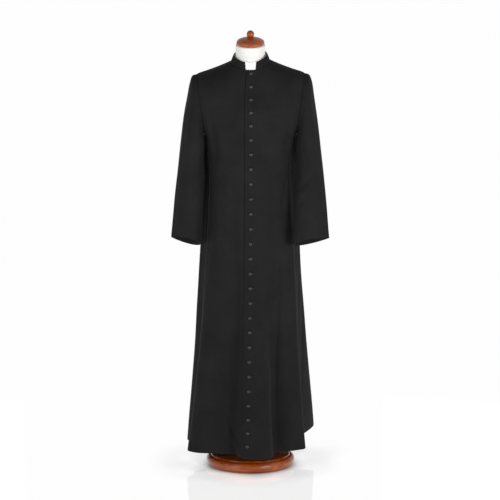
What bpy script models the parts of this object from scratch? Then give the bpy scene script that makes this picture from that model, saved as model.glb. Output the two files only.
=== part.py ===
"""A buttoned cassock standing on a limbless tailor's form, in metres, +Z up.

The origin is the centre of the base's underside. The front faces -Y, and the wearer's left is +X.
Sizes below are in millimetres, and MM turns them to metres when a mesh is made.
"""

import math

import bmesh
import bpy
from mathutils import Vector

MM = 0.001
WALL = 1.8
COLLAR_WALL = 2.0
INSERT_WALL = 1.0
INSERT_GAP = 0.6
GAP = 0.3
SEAM_TRIM = 0.2

HEM_Z = 78.0
NECK_Z = 1614.0

# The armhole is an ellipse in a plane that leans in towards its foot.
ARMHOLE_TOP_Z = 1562.0
ARMHOLE_FOOT_Z = 1325.0
ARMHOLE_TOP_X = 210.0
ARMHOLE_FOOT_X = 178.0
ARMHOLE_HALF_DEPTH = 78.0
ARMHOLE_STEPS = 10
SLEEVE_SEAM_STEP = 7

SKIRT_HEIGHTS = (78, 145, 225, 325, 440, 570, 710, 850, 970, 1075, 1165, 1250)
YOKE_HEIGHTS = (1573, 1587, 1601, 1614)

# The widths of a panel's columns, in degrees from its middle edge before they are fitted.
FRONT_STEPS = (2.5, 2.5, 2.5, 2.5, 3, 3, 2.5, 2.5, 2.5, 2.5, 3, 4, 5, 6, 7, 7, 7, 7, 8, 8, 10)
BACK_STEPS = (7.5,) * 12
BUTTON_COUNT = 27
BUTTON_PROUD = 0.5
BUTTON_SIDES = 9
BUTTON_PROFILE = ((0, 5.6), (4.4, 4.7), (7.0, 2.0), (5.8, 0), (0, 0))

# The garment's rings. side_z, front_z and back_z are the ring's heights at the side, the front and
# the back; front and back are its depths before folds; power is its squareness, 2 for an ellipse;
# inset is how far the form's torso stays inside the cloth there.
RING_COLUMNS = ("side_z", "front_z", "back_z", "half_width", "front", "back", "power", "inset")
RINGS = (
    (78, 78, 78, 230, 150, 262, 2.1, 40),
    (150, 150, 150, 224, 147, 250, 2.1, 40),
    (250, 250, 250, 216, 142, 232, 2.1, 40),
    (400, 400, 400, 205, 136, 206, 2.1, 40),
    (550, 550, 550, 196, 131, 184, 2.1, 40),
    (700, 700, 700, 189, 127, 164, 2.1, 30),
    (850, 850, 850, 181, 123, 147, 2.1, 22),
    (935, 935, 935, 176, 121, 140, 2.1, 18),
    (1050, 1050, 1050, 170, 118, 130, 2.1, 16),
    (1160, 1160, 1160, 167, 117, 123, 2.1, 18),
    (1260, 1260, 1260, 170, 121, 124, 2.2, 16),
    (1325, 1325, 1325, 178, 124, 127, 2.3, 14),
    (1443, 1438, 1440, 194, 121, 126, 2.4, 11),
    (1500, 1478, 1484, 202, 112, 121, 2.4, 9),
    (1540, 1506, 1513, 207, 105, 114, 2.3, 5),
    (1562, 1522, 1532, 210, 100, 108, 2.2, 2.2),
    (1574, 1540, 1554, 183, 97, 102, 2.1, 1.3),
    (1588, 1560, 1580, 143, 92, 95, 2.0, 1.1),
    (1601, 1581, 1602, 108, 85, 86, 2.0, 0.8),
    (1614, 1600, 1620, 78, 78, 76, 2.0, 0.6),
)

# Soft folds round the skirt, at angles from the centre front, plus towards the wearer's left.
# A fold starts at start_z, is mid_out proud (or hollow, if negative) at mid_z, and hem_out at
# the hem, where it lifts the cloth by hem_lift. Its shape is 2 for a round top, and more for a flat
# one with steep sides.
FOLD_GROWTH = 1.2
FOLD_COLUMNS = (
    "top_angle", "hem_angle", "width", "shape", "start_z", "mid_z", "mid_out", "hem_out", "hem_lift"
)
FOLDS = (
    (3, 4, 13.5, 4, 1180, 900, 8, 98, 0),
    (31, 28, 8, 2, 1250, 900, -7, -18, 0),
    (-22, -20, 8, 2, 1250, 900, -6, 16, 0),
    (-52, -50, 20, 2.6, 1300, 900, 5, 57, 0),
    (64, 62, 9, 2, 1330, 1000, 6, 8, 0),
    (82, 88, 13, 2, 1330, 1150, -12, -36, 0),
    (104, 112, 15, 2, 1325, 1240, 16, -26, 0),
    (104, 134, 11, 2, 1250, 900, 26, 115, 17),
    (-84, -88, 9, 2, 1330, 1150, -10, -26, 0),
    (-103, -109, 15, 2, 1325, 1240, 20, 28, 2),
    (-138, -136, 13, 2.4, 1180, 900, 12, 56, 5),
    (150, 158, 8, 2, 1180, 900, -6, -24, 0),
    (-160, -158, 10, 2, 1150, 900, -8, -34, 0),
    (180, 179, 12, 2, 1180, 900, 8, 46, 3),
)

# The wearer's left shoulder is a little higher than the right one, from the collar outwards, and
# both shoulders stay up to the very ends of their seams.
HIGH_SHOULDER = 4.6
SEAM_END_LIFT = 2.4

# The lap's edge and the buttons, as places left or right of the middle at a height.
LAP_EDGE = (
    (78, -36), (250, -30), (500, -26), (800, -24), (1160, -21), (1520, -21), (1580, -18), (1614, -14)
)
BUTTON_LINE = ((78, -13), (300, -7), (500, -4), (700, -1), (950, 1), (1160, 2), (1614, 2))
BUTTON_HEIGHTS = ((1, 1588), (5, 1388), (9, 1152), (14, 856), (20, 511), (25, 230), (27, 127))
UNDERLAP_X = 16.0
LAP_EASE = 5.0
LAP_GAP = 0.8

# The sleeves. outer and inner are the edges of the sleeve seen from the front, forward is how far
# the middle of the ring is in front of the shoulder, half_depth its half size front to back, and
# tilt how far the front of the ring is turned up. Towards the cuff the ring is pinched at its edges
# and fuller on its inner side.
STATION_COLUMNS = ("station", "outer_x", "outer_z", "inner_x", "inner_z", "forward", "half_depth", "tilt")
SLEEVE_LEFT = (
    (0, 210, 1562, 178, 1325, 0, 78, 0),
    (1, 229, 1557, 181, 1316, 2, 80, 1),
    (2, 241, 1528, 184, 1303, 5, 81, 2),
    (3, 249, 1474, 182, 1284, 10, 80, 4),
    (4, 260, 1398, 179, 1256, 17, 76, 6),
    (5, 273, 1290, 176, 1205, 35, 68, 10),
    (6, 284, 1188, 173, 1140, 58, 57, 13),
    (7, 294, 1092, 167, 1060, 76, 49, 16),
    (8, 303, 990, 162, 972, 95, 42, 21),
    (9, 308, 933, 160, 904, 104, 38, 27),
)
SLEEVE_RIGHT = (
    (0, 210, 1562, 178, 1325, 0, 78, 0),
    (1, 226, 1557, 181, 1316, 2, 80, 1),
    (2, 237, 1528, 184, 1303, 4, 81, 2),
    (3, 248, 1470, 183, 1284, 7, 80, 3),
    (4, 261, 1392, 182, 1256, 11, 77, 5),
    (5, 274, 1285, 181, 1205, 17, 71, 8),
    (6, 285, 1180, 181, 1138, 24, 65, 11),
    (7, 295, 1083, 184, 1052, 31, 59, 15),
    (8, 304, 985, 189, 958, 38, 55, 20),
    (9, 309, 922, 192, 893, 43, 53, 25),
)
CUFF_PINCH = 0.5
CUFF_LEAN = 0.25
SLEEVE_RINGS = (0, 0.4, 0.9, 1.4, 1.9, 2.4, 3, 3.6, 4.3, 5, 5.8, 6.6, 7.4, 8.2, 9)

# The standing collar, at the foot and at the top of the band.
COLLAR_FOOT = {
    "front": 77.0, "side": 77.0, "back": 75.0, "front_z": 1600.5, "side_z": 1614.6, "back_z": 1620.6
}
COLLAR_TOP = {
    "front": 69.0, "side": 65.5, "back": 64.0, "front_z": 1628.0, "side_z": 1645.0, "back_z": 1653.5
}
COLLAR_COLUMNS = 30
NOTCH_MIDDLE_X = 1.0
NOTCH_FOOT_HALF = 19.5
NOTCH_TOP_HALF = 22.5
INSERT_RISE = 1.04

# The form under the cloth.
TORSO_FOOT_Z = 850.0
TORSO_FOOT = ((0.82, TORSO_FOOT_Z), (0.94, TORSO_FOOT_Z + 2))
TORSO_HEIGHTS = (858, 900, 960, 1060, 1160, 1250, 1325, 1385, 1443, 1500, 1540, 1562, 1573, 1587, 1601, 1614)
TORSO_COLUMNS = 30
LAP_ROOM = 3.2
NECK_COLUMNS = ("side_z", "front_z", "back_z", "radius")
NECK_RINGS = (
    (1615.5, 1602.5, 1621.5, 69),
    (1628, 1618, 1633, 61.5),
    (1640, 1634, 1645, 57.8),
    (1656, 1654, 1658, 57.3),
    (1683, 1683, 1683, 57.3),
)
CAP_SEAT_Z = 1683.3
FINIAL_SEAT_Z = 1715.5
BALL_RADIUS = 15.2
FINIAL_FOOT_RADIUS = 11.0
POLE_RADIUS = 17.0
BASE_TOP_Z = 46.6
BASE_SHOULDER = ((146, 46.6), (150, 45.8), (152.5, 43.6), (153, 40.6))
CAP_DOME = (
    (15, 1713.6), (22, 1712.8), (32, 1710.2), (42, 1705), (50, 1698.4), (54.4, 1693.6), (55.6, 1690.6),
    (53.6, 1687), (49, 1684.4),
)


def smooth(rows, at, column=1):
    """Reads a table's column at a value of its first column, along a curve with no overshoot."""
    count = len(rows)
    rising = rows[-1][0] > rows[0][0]
    if (at <= rows[0][0]) == rising:
        return rows[0][column]
    if (at >= rows[-1][0]) == rising:
        return rows[-1][column]
    place = max(i for i in range(count - 1) if (rows[i][0] <= at) == rising)

    def slope(i):
        return (rows[i + 1][column] - rows[i][column]) / (rows[i + 1][0] - rows[i][0])

    def tangent(i):
        if i in (0, count - 1):
            return slope(min(i, count - 2))
        before, after = slope(i - 1), slope(i)
        return 0.0 if before * after <= 0 else 2 * before * after / (before + after)

    low, high = rows[place], rows[place + 1]
    span = high[0] - low[0]
    t = (at - low[0]) / span
    start = (1 + 2 * t) * (1 - t) ** 2 * low[column] + t * (1 - t) ** 2 * span * tangent(place)
    end = t * t * (3 - 2 * t) * high[column] + t * t * (t - 1) * span * tangent(place + 1)
    return start + end


def ease(t):
    """Goes smoothly from 0 at t = 0 to 1 at t = 1."""
    t = min(max(t, 0.0), 1.0)
    return t * t * (3 - 2 * t)


def signed_power(value, exponent):
    return math.copysign(abs(value) ** exponent, value)


def ring_at(height):
    """All the columns of RINGS at one height of the side."""
    return {name: smooth(RINGS, height, i) if i else height for i, name in enumerate(RING_COLUMNS)}


def folds_at(degrees, height):
    """How far the folds push the cloth out at an angle and a height, and how far they lift it."""
    out = lift = 0.0
    down = (NECK_Z - height) / (NECK_Z - HEM_Z)
    for row in FOLDS:
        fold = dict(zip(FOLD_COLUMNS, row))
        angle = fold["top_angle"] + (fold["hem_angle"] - fold["top_angle"]) * down
        away = (degrees - angle + 180) % 360 - 180
        below = max((fold["mid_z"] - height) / (fold["mid_z"] - HEM_Z), 0)
        if height >= fold["mid_z"]:
            size = fold["mid_out"] * ease((fold["start_z"] - height) / (fold["start_z"] - fold["mid_z"]))
        else:
            size = fold["mid_out"] + (fold["hem_out"] - fold["mid_out"]) * below**FOLD_GROWTH
        profile = math.exp(-(abs(away / fold["width"]) ** fold["shape"]))
        out += size * profile
        lift += fold["hem_lift"] * below**2 * profile
    return out, lift


def lean(point):
    """A point with the shoulders, the collar and the sleeve heads raised a little."""
    x, y, z = point
    lift = HIGH_SHOULDER * ease((x - 10) / 60) * ease((z - 1380) / 130) * (1 - ease((z - 1650) / 30))
    lift += SEAM_END_LIFT * ease((abs(x) - 160) / 50) * ease((z - 1480) / 70)
    return Vector((x, y, z + lift))


def armhole_at(height):
    """The armhole's half depth and its distance from the middle, or none above and below it."""
    middle = (ARMHOLE_TOP_Z + ARMHOLE_FOOT_Z) / 2
    half = (ARMHOLE_TOP_Z - ARMHOLE_FOOT_Z) / 2
    part = (height - middle) / half
    if abs(part) >= 1:
        return None
    x = (ARMHOLE_TOP_X + ARMHOLE_FOOT_X) / 2 + part * (ARMHOLE_TOP_X - ARMHOLE_FOOT_X) / 2
    return ARMHOLE_HALF_DEPTH * math.sqrt(1 - part * part), x


def edge_angle(height, face):
    """The angle, from the centre front or back, at which a panel ends at its side edge."""
    armhole = armhole_at(height)
    if armhole is None:
        return math.pi / 2
    ring = ring_at(height)
    return math.acos((armhole[0] / ring[face]) ** (ring["power"] / 2))


def body_point(height, angle, side, face, half_width=None, edge=math.pi / 2):
    """A point of the plain body, before folds. angle is from the centre of the face, in radians."""
    ring = ring_at(height)
    round_off = 2 / ring["power"]
    x = side * (half_width or ring["half_width"]) * signed_power(math.sin(angle), round_off)
    y = ring[face] * signed_power(math.cos(angle), round_off)
    level = math.cos(math.pi / 2 * angle / edge) ** 2
    z = ring["side_z"] - (ring["side_z"] - ring[face + "_z"]) * level
    return Vector((x, -y if face == "front" else y, z))


def cloth_point(height, angle, side, face):
    """A point of the garment's outer surface, with its armhole and its folds."""
    armhole = armhole_at(height)
    if armhole is None:
        point = body_point(height, angle, side, face)
    else:
        edge = edge_angle(height, face)
        half_width = armhole[1] / math.sin(edge) ** (2 / ring_at(height)["power"])
        point = body_point(height, angle, side, face, half_width, edge)
    degrees = math.degrees(angle)
    if face == "back":
        degrees = 180 - degrees
    out, lift = folds_at(side * degrees, height)
    grow = 1 + out / math.hypot(point.x, point.y)
    return Vector((point.x * grow, point.y * grow, point.z + lift))


def facing(across, along, outwards):
    """The unit normal from two differences, on the side of outwards."""
    normal = across.cross(along).normalized()
    return normal if normal.dot(outwards) > 0 else -normal


def surface_normal(surface, height, angle, side, face):
    """The outward normal of body_point or cloth_point."""
    low, high = max(height - 1.5, HEM_Z), min(height + 1.5, NECK_Z)
    along = surface(high, angle, side, face) - surface(low, angle, side, face)
    across = surface(height, angle + 0.004, side, face) - surface(height, angle - 0.004, side, face)
    point = surface(height, angle, side, face)
    return facing(across, along, Vector((point.x, point.y, 0)))


def angle_at_x(height, x, side):
    """The angle on the front at which the cloth lies at x, for a panel of one side."""
    low, high = -0.5, 0.5
    for _ in range(30):
        middle = (low + high) / 2
        if side * cloth_point(height, middle, side, "front").x < side * x:
            low = middle
        else:
            high = middle
    return (low + high) / 2


def new_object(name, mesh, material, collection):
    obj = bpy.data.objects.new(name, mesh)
    obj.data.materials.append(material)
    collection.objects.link(obj)
    mesh.shade_smooth()
    mesh.set_sharp_from_angle(angle=math.radians(40))
    return obj


def closed_mesh(name, points, faces):
    """A mesh from points in millimetres, leant at the shoulders, with every face turned outwards."""
    work = bmesh.new()
    verts = [work.verts.new(lean(point) * MM) for point in points]
    for face in faces:
        work.faces.new([verts[i] for i in face])
    bmesh.ops.recalc_face_normals(work, faces=work.faces)
    mesh = bpy.data.meshes.new(name)
    work.to_mesh(mesh)
    work.free()
    return mesh


def wall_mesh(name, outer, inner, ring=False):
    """A closed wall between two grids of points. A ring's last column meets its first."""
    rows, columns = len(outer), len(outer[0])
    points = [p for row in outer for p in row] + [p for row in inner for p in row]
    shift = rows * columns

    def at(row, column, layer):
        return layer * shift + row * columns + column % columns

    spans = columns if ring else columns - 1
    faces = []
    for r in range(rows - 1):
        for c in range(spans):
            for layer in (0, 1):
                low = at(r, c, layer), at(r, c + 1, layer)
                high = at(r + 1, c + 1, layer), at(r + 1, c, layer)
                faces.append([*low, *high])
    for c in range(spans):
        for r in (0, rows - 1):
            faces.append([at(r, c, 0), at(r, c + 1, 0), at(r, c + 1, 1), at(r, c, 1)])
    if not ring:
        for r in range(rows - 1):
            for c in (0, columns - 1):
                faces.append([at(r, c, 0), at(r + 1, c, 0), at(r + 1, c, 1), at(r, c, 1)])
    return closed_mesh(name, points, faces)


def panel_heights():
    """The heights of a panel's rows, with the armhole's spaced as its ellipse's points are."""
    middle = (ARMHOLE_TOP_Z + ARMHOLE_FOOT_Z) / 2
    half = (ARMHOLE_TOP_Z - ARMHOLE_FOOT_Z) / 2
    steps = range(ARMHOLE_STEPS + 1)
    armhole = [middle - half * math.cos(math.pi * i / ARMHOLE_STEPS) for i in steps]
    return [*SKIRT_HEIGHTS, *armhole, *YOKE_HEIGHTS]


def lap_inset(height, angle):
    """How far the right front lies under the left one, which is none away from the lap."""
    lap = math.degrees(angle_at_x(height, smooth(LAP_EDGE, height), -1))
    past = (math.degrees(angle) - lap - 0.5) / LAP_EASE
    return (WALL + LAP_GAP) * (1 - ease(past))


def panel_angles(height, side, face):
    """The angles of a panel's columns, from its edge at the middle to its edge at the side."""
    steps = FRONT_STEPS if face == "front" else BACK_STEPS
    first = 0.0
    if face == "front":
        first = angle_at_x(height, smooth(LAP_EDGE, height) if side > 0 else UNDERLAP_X, side)
    last = edge_angle(height, face)
    return [first + (last - first) * sum(steps[:i]) / sum(steps) for i in range(len(steps) + 1)]


def panel(name, side, face, material, collection):
    """One front or back. Its edges are trimmed a little, which leaves the gap of each seam."""
    outer, inner = [], []
    for height in panel_heights():
        row, back = [], []
        for angle in panel_angles(height, side, face):
            point = cloth_point(height, angle, side, face)
            normal = surface_normal(cloth_point, height, angle, side, face)
            if angle == math.pi / 2:
                other = "back" if face == "front" else "front"
                normal = (normal + surface_normal(cloth_point, height, angle, side, other)).normalized()
            if face == "front" and side < 0:
                point = point - normal * lap_inset(height, angle)
            row.append(point)
            back.append(point - normal * WALL)
        for end, inward in ((0, 1), (-1, -2)):
            move = (row[inward] - row[end]).normalized() * SEAM_TRIM
            row[end] = row[end] + move
            back[end] = back[end] + move
        outer.append(row)
        inner.append(back)
    return new_object(name, wall_mesh(name, outer, inner), material, collection)


def sleeve_point(table, station, turn, side):
    """A point of a sleeve's outer surface; turn is 0 at the outer edge and grows to the front."""
    row = {name: smooth(table, station, i) if i else station for i, name in enumerate(STATION_COLUMNS)}
    outer = Vector((row["outer_x"] + GAP, -row["forward"], row["outer_z"]))
    inner = Vector((row["inner_x"] + GAP, -row["forward"], row["inner_z"]))
    tilt = math.radians(row["tilt"])
    up_front = Vector((0, -math.cos(tilt), math.sin(tilt)))
    flat = (station / SLEEVE_RINGS[-1]) ** 2
    across = math.cos(turn) - CUFF_LEAN * flat * math.sin(turn) ** 2
    deep = row["half_depth"] * signed_power(math.sin(turn), 1 + CUFF_PINCH * flat)
    point = (outer + inner) / 2 + (outer - inner) / 2 * across + up_front * deep
    return Vector((side * point.x, point.y, point.z))


def sleeve_piece(name, table, side, steps, material, collection):
    """A stretch of the sleeve between two of its seams, from one step round the armhole to another."""
    outer, inner = [], []
    first, last = steps
    for station in SLEEVE_RINGS:
        low, high = max(station - 0.03, 0), min(station + 0.03, SLEEVE_RINGS[-1])
        middle = (sleeve_point(table, station, 0, side) + sleeve_point(table, station, math.pi, side)) / 2
        row, back = [], []
        for i in range(first, last + 1):
            turn = math.pi * i / ARMHOLE_STEPS
            point = sleeve_point(table, station, turn, side)
            along = sleeve_point(table, high, turn, side) - sleeve_point(table, low, turn, side)
            ahead, behind = (sleeve_point(table, station, turn + nudge, side) for nudge in (0.01, -0.01))
            across = ahead - behind
            normal = facing(across, along, point - middle)
            row.append(point)
            back.append(point - normal * WALL)
        for end, inward in ((0, 1), (-1, -2)):
            move = (row[inward] - row[end]).normalized() * SEAM_TRIM
            row[end] = row[end] + move
            back[end] = back[end] + move
        outer.append(row)
        inner.append(back)
    return new_object(name, wall_mesh(name, outer, inner), material, collection)


def collar_point(angle, rise, inside):
    """A point of the collar band, from its foot (rise 0) to its top (rise 1), moved inwards."""
    front = max(math.cos(angle), 0) ** 2
    back = max(-math.cos(angle), 0) ** 2
    side = math.sin(angle) ** 2

    def part(name):
        foot, top = COLLAR_FOOT[name], COLLAR_TOP[name]
        return foot + (top - foot) * rise

    radius = front * part("front") + side * part("side") + back * part("back") - inside
    z = front * part("front_z") + side * part("side_z") + back * part("back_z")
    return Vector((radius * math.sin(angle), -radius * math.cos(angle), z))


def collar(material, collection):
    """The black band, from one side of the notch round the back to the other."""
    outer, inner = [], []
    for rise in (0, 0.5, 1):
        half = NOTCH_FOOT_HALF + (NOTCH_TOP_HALF - NOTCH_FOOT_HALF) * rise
        radius = -collar_point(0, rise, 0).y
        first = math.asin((NOTCH_MIDDLE_X + half) / radius)
        last = 2 * math.pi + math.asin((NOTCH_MIDDLE_X - half) / radius)
        turns = [first + (last - first) * i / COLLAR_COLUMNS for i in range(COLLAR_COLUMNS + 1)]
        outer.append([collar_point(turn, rise, 0) for turn in turns])
        inner.append([collar_point(turn, rise, COLLAR_WALL) for turn in turns])
    return new_object("collar", wall_mesh("collar", outer, inner), material, collection)


def collar_insert(material, collection):
    """The white band inside the collar, a closed ring that stands a little above it."""
    inside = COLLAR_WALL + INSERT_GAP
    turns = [2 * math.pi * i / COLLAR_COLUMNS for i in range(COLLAR_COLUMNS)]
    rises = (0.02, 0.5, 1, INSERT_RISE)
    outer = [[collar_point(turn, rise, inside) for turn in turns] for rise in rises]
    inner = [[collar_point(turn, rise, inside + INSERT_WALL) for turn in turns] for rise in rises]
    mesh = wall_mesh("collar_insert", outer, inner, ring=True)
    return new_object("collar_insert", mesh, material, collection)


def turned(name, profile, steps, material, collection):
    """A turned solid from (radius, height) points that run from its top to its foot."""
    mesh = bpy.data.meshes.new(name)
    points = [(radius * MM, 0, z * MM) for radius, z in profile]
    mesh.from_pydata(points, [(i, i + 1) for i in range(len(points) - 1)], [])
    obj = bpy.data.objects.new(name, mesh)
    obj.data.materials.append(material)
    collection.objects.link(obj)
    screw = obj.modifiers.new("turn", "SCREW")
    screw.axis = "Z"
    screw.steps = steps
    screw.render_steps = steps
    screw.use_merge_vertices = True
    screw.merge_threshold = 0.00001
    screw.use_smooth_shade = True
    return obj


def arc(centre, radii, start, end, count):
    """Points of an ellipse's arc in a profile, by angles from straight out, in degrees."""
    points = []
    for i in range(count + 1):
        turn = math.radians(start + (end - start) * i / count)
        points.append((centre[0] + radii[0] * math.cos(turn), centre[1] + radii[1] * math.sin(turn)))
    return points


def lap_place(z):
    """The point and the normal of the lap's flat facets on the button line, at a height."""
    x = smooth(BUTTON_LINE, z)
    rows = []
    for height in panel_heights():
        row = [cloth_point(height, angle, 1, "front") for angle in panel_angles(height, 1, "front")]
        left, right = next(pair for pair in zip(row, row[1:]) if pair[1].x > x)
        rows.append((left.lerp(right, (x - left.x) / (right.x - left.x)), right - left))
    for (low, across), (high, _) in zip(rows, rows[1:]):
        if low.z <= z <= high.z:
            point = low.lerp(high, (z - low.z) / (high.z - low.z))
            return point, facing(across, high - low, Vector((0, -1, 0)))
    return rows[-1][0], Vector((0, -1, 0))


def buttons(material, collection):
    """Domed cloth buttons, each a turned profile laid flat on the lap's surface."""
    for number in range(1, BUTTON_COUNT + 1):
        point, normal = lap_place(smooth(BUTTON_HEIGHTS, number))
        button = turned(f"button_{number:02d}", BUTTON_PROFILE, BUTTON_SIDES, material, collection)
        button.location = (point + normal * BUTTON_PROUD) * MM
        button.rotation_mode = "QUATERNION"
        button.rotation_quaternion = normal.to_track_quat("Z", "Y")


def torso_ring(height):
    """The torso's ring at one height, a little inside the cloth's plain body."""
    depth = WALL + ring_at(height)["inset"]
    ring = []
    for i in range(TORSO_COLUMNS):
        turn = (360 * i / TORSO_COLUMNS + 180) % 360 - 180
        side = -1 if turn < 0 else 1
        face = "front" if abs(turn) <= 90 else "back"
        angle = math.radians(abs(turn) if face == "front" else 180 - abs(turn))
        normal = surface_normal(body_point, height, angle, side, face)
        room = LAP_ROOM * math.cos(angle) ** 4 if face == "front" else 0
        ring.append(body_point(height, angle, side, face) - normal * (depth + room))
    return ring


def torso(material, collection):
    """The torso inside the cloth: one closed loft from its foot up to the top of the neck."""
    rings = []
    for share, z in TORSO_FOOT:
        rings.append([Vector((p.x * share, p.y * share, z)) for p in torso_ring(TORSO_HEIGHTS[0])])
    rings += [torso_ring(height) for height in TORSO_HEIGHTS]
    for row in NECK_RINGS:
        neck = dict(zip(NECK_COLUMNS, row))
        ring = []
        for i in range(TORSO_COLUMNS):
            turn = 2 * math.pi * i / TORSO_COLUMNS
            face_z = neck["front_z"] if math.cos(turn) >= 0 else neck["back_z"]
            z = neck["side_z"] - (neck["side_z"] - face_z) * math.cos(turn) ** 2
            ring.append(Vector((neck["radius"] * math.sin(turn), -neck["radius"] * math.cos(turn), z)))
        rings.append(ring)
    points = [p for ring in rings for p in ring]
    count = TORSO_COLUMNS
    faces = [list(range(count)), [len(points) - count + i for i in range(count)]]
    for r in range(len(rings) - 1):
        for c in range(count):
            near, far = r * count + c, r * count + (c + 1) % count
            faces.append([near, far, far + count, near + count])
    return new_object("form_torso", closed_mesh("form_torso", points, faces), material, collection)


def turned_wood(material, collection):
    """The base, the pole, the neck cap and its ball."""
    edge = arc((156, 22), (16, 18.5), 88, -62, 6)
    base = [(0, BASE_TOP_Z), *BASE_SHOULDER, *edge, (160, 0), (0, 0)]
    turned("form_base", base, 36, material, collection)
    top, foot = TORSO_FOOT_Z - GAP, BASE_TOP_Z + GAP
    pole = [(0, top), (POLE_RADIUS, top), (POLE_RADIUS, foot), (0, foot)]
    turned("form_pole", pole, 16, material, collection)
    seat = FINIAL_SEAT_Z - GAP
    cap = [(0, seat), (12.5, seat), *CAP_DOME, (45, CAP_SEAT_Z), (0, CAP_SEAT_Z)]
    turned("neck_cap", cap, 28, material, collection)
    low = -math.degrees(math.acos(FINIAL_FOOT_RADIUS / BALL_RADIUS))
    centre_z = FINIAL_SEAT_Z + math.sqrt(BALL_RADIUS**2 - FINIAL_FOOT_RADIUS**2)
    ball = arc((0, centre_z), (BALL_RADIUS, BALL_RADIUS), 90, low, 8)
    ball[0] = (0, ball[0][1])
    turned("finial", [*ball, (0, FINIAL_SEAT_Z)], 16, material, collection)


def material(name, colour, roughness):
    made = bpy.data.materials.new(name)
    made.use_nodes = True
    shader = made.node_tree.nodes["Principled BSDF"]
    shader.inputs["Base Color"].default_value = (*colour, 1)
    shader.inputs["Roughness"].default_value = roughness
    shader.inputs["Metallic"].default_value = 0
    return made


def build():
    for obj in list(bpy.data.objects):
        bpy.data.objects.remove(obj)
    cassock = bpy.data.collections.new("cassock")
    bpy.context.scene.collection.children.link(cassock)
    cloth = material("black wool cloth", (0.018, 0.018, 0.018), 0.9)
    button_cloth = material("black button cloth", (0.016, 0.016, 0.016), 0.7)
    linen = material("white starched band", (0.93, 0.93, 0.92), 0.5)
    cover = material("off-white form cover", (0.78, 0.77, 0.75), 0.85)
    wood = material("varnished turned wood", (0.32, 0.09, 0.02), 0.2)

    for side, word in ((1, "left"), (-1, "right")):
        panel(f"front_{word}", side, "front", cloth, cassock)
        panel(f"back_{word}", side, "back", cloth, cassock)
        table = SLEEVE_LEFT if side > 0 else SLEEVE_RIGHT
        seam = SLEEVE_SEAM_STEP
        sleeve_piece(f"sleeve_{word}_upper", table, side, (-seam, seam), cloth, cassock)
        sleeve_piece(f"sleeve_{word}_under", table, side, (seam, 2 * ARMHOLE_STEPS - seam), cloth, cassock)
    collar(cloth, cassock)
    collar_insert(linen, cassock)
    buttons(button_cloth, cassock)
    torso(cover, cassock)
    turned_wood(wood, cassock)


build()
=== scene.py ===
# %% [markdown]
# A buttoned cassock stands on a limbless tailor's form.
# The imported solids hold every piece's true size and place. This script gives them their looks: thin
# cloth with soft creases, sewn edges, covered buttons, turned wood, and the light of a photo studio.
# The frame is loaded first, because every piece below is worked out in its metres.

# %% Load the frame
import math

import bmesh
import bpy
import numpy as np
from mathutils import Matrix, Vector
from mathutils.bvhtree import BVHTree


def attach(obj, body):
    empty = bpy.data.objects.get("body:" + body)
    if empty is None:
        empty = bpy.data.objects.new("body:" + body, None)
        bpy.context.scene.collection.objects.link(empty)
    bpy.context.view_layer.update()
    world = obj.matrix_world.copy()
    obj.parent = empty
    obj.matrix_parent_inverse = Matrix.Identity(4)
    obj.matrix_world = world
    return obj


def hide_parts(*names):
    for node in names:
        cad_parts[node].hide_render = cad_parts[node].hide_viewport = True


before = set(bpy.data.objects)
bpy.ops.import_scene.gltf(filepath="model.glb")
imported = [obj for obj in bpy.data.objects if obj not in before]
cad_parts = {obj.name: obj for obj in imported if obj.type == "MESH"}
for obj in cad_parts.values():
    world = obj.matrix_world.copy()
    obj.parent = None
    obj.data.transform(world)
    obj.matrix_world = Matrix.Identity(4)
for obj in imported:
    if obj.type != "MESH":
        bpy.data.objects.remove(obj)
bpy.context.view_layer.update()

MM = 0.001
BODY = "root"

# %% [markdown]
# The photo was taken from a little above and through a very long lens, so an orthographic camera
# fits it best. One pixel of the photo is 3.9 mm at the cassock, and the camera looks down 14 degrees.

# %% Camera
PIXEL = 3.9 * MM
PHOTO_PIXELS = 500
CAMERA_ELEVATION = math.radians(14)
AIM = Vector((-0.0016, 0, 0.8585))
CAMERA_DISTANCE = 12.0

camera_data = bpy.data.cameras.new("studio_camera")
camera_data.type = "ORTHO"
camera_data.ortho_scale = PIXEL * PHOTO_PIXELS
camera = bpy.data.objects.new("studio_camera", camera_data)
camera.location = AIM + CAMERA_DISTANCE * Vector((0, -math.cos(CAMERA_ELEVATION), math.sin(CAMERA_ELEVATION)))
camera.rotation_euler = (math.pi / 2 - CAMERA_ELEVATION, 0, 0)
bpy.context.scene.collection.objects.link(camera)
bpy.context.scene.camera = camera
print("camera looks down", round(math.degrees(CAMERA_ELEVATION)), "degrees")

# %% [markdown]
# Colours are written as they look on a screen, in sRGB hex, and one function turns them to the
# linear values that shaders use. One more function adds a node with its settings and its links, so
# each material below reads as a short list of what it is made of.

# %% Colour and node helpers
def linear(hex_colour):
    """An sRGB hex colour as linear red, green, blue and alpha."""
    channels = [int(hex_colour[i : i + 2], 16) / 255 for i in (1, 3, 5)]
    return (*(c / 12.92 if c <= 0.04045 else ((c + 0.055) / 1.055) ** 2.4 for c in channels), 1.0)


def add_node(tree, kind, settings=None, inputs=None):
    """Adds a node. Inputs are values, or the sockets of other nodes to link from."""
    made = tree.nodes.new(kind)
    for name, value in (settings or {}).items():
        setattr(made, name, value)
    for name, value in (inputs or {}).items():
        if isinstance(value, bpy.types.NodeSocket):
            tree.links.new(value, made.inputs[name])
        else:
            made.inputs[name].default_value = value
    return made


def new_material(name):
    """A material with nothing in it but its output, and its node tree."""
    made = bpy.data.materials.new(name)
    made.use_nodes = True
    made.node_tree.nodes.clear()
    return made, made.node_tree


def finish_material(tree, shader):
    add_node(tree, "ShaderNodeOutputMaterial", inputs={"Surface": shader.outputs[0]})


print("helpers ready")

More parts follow.
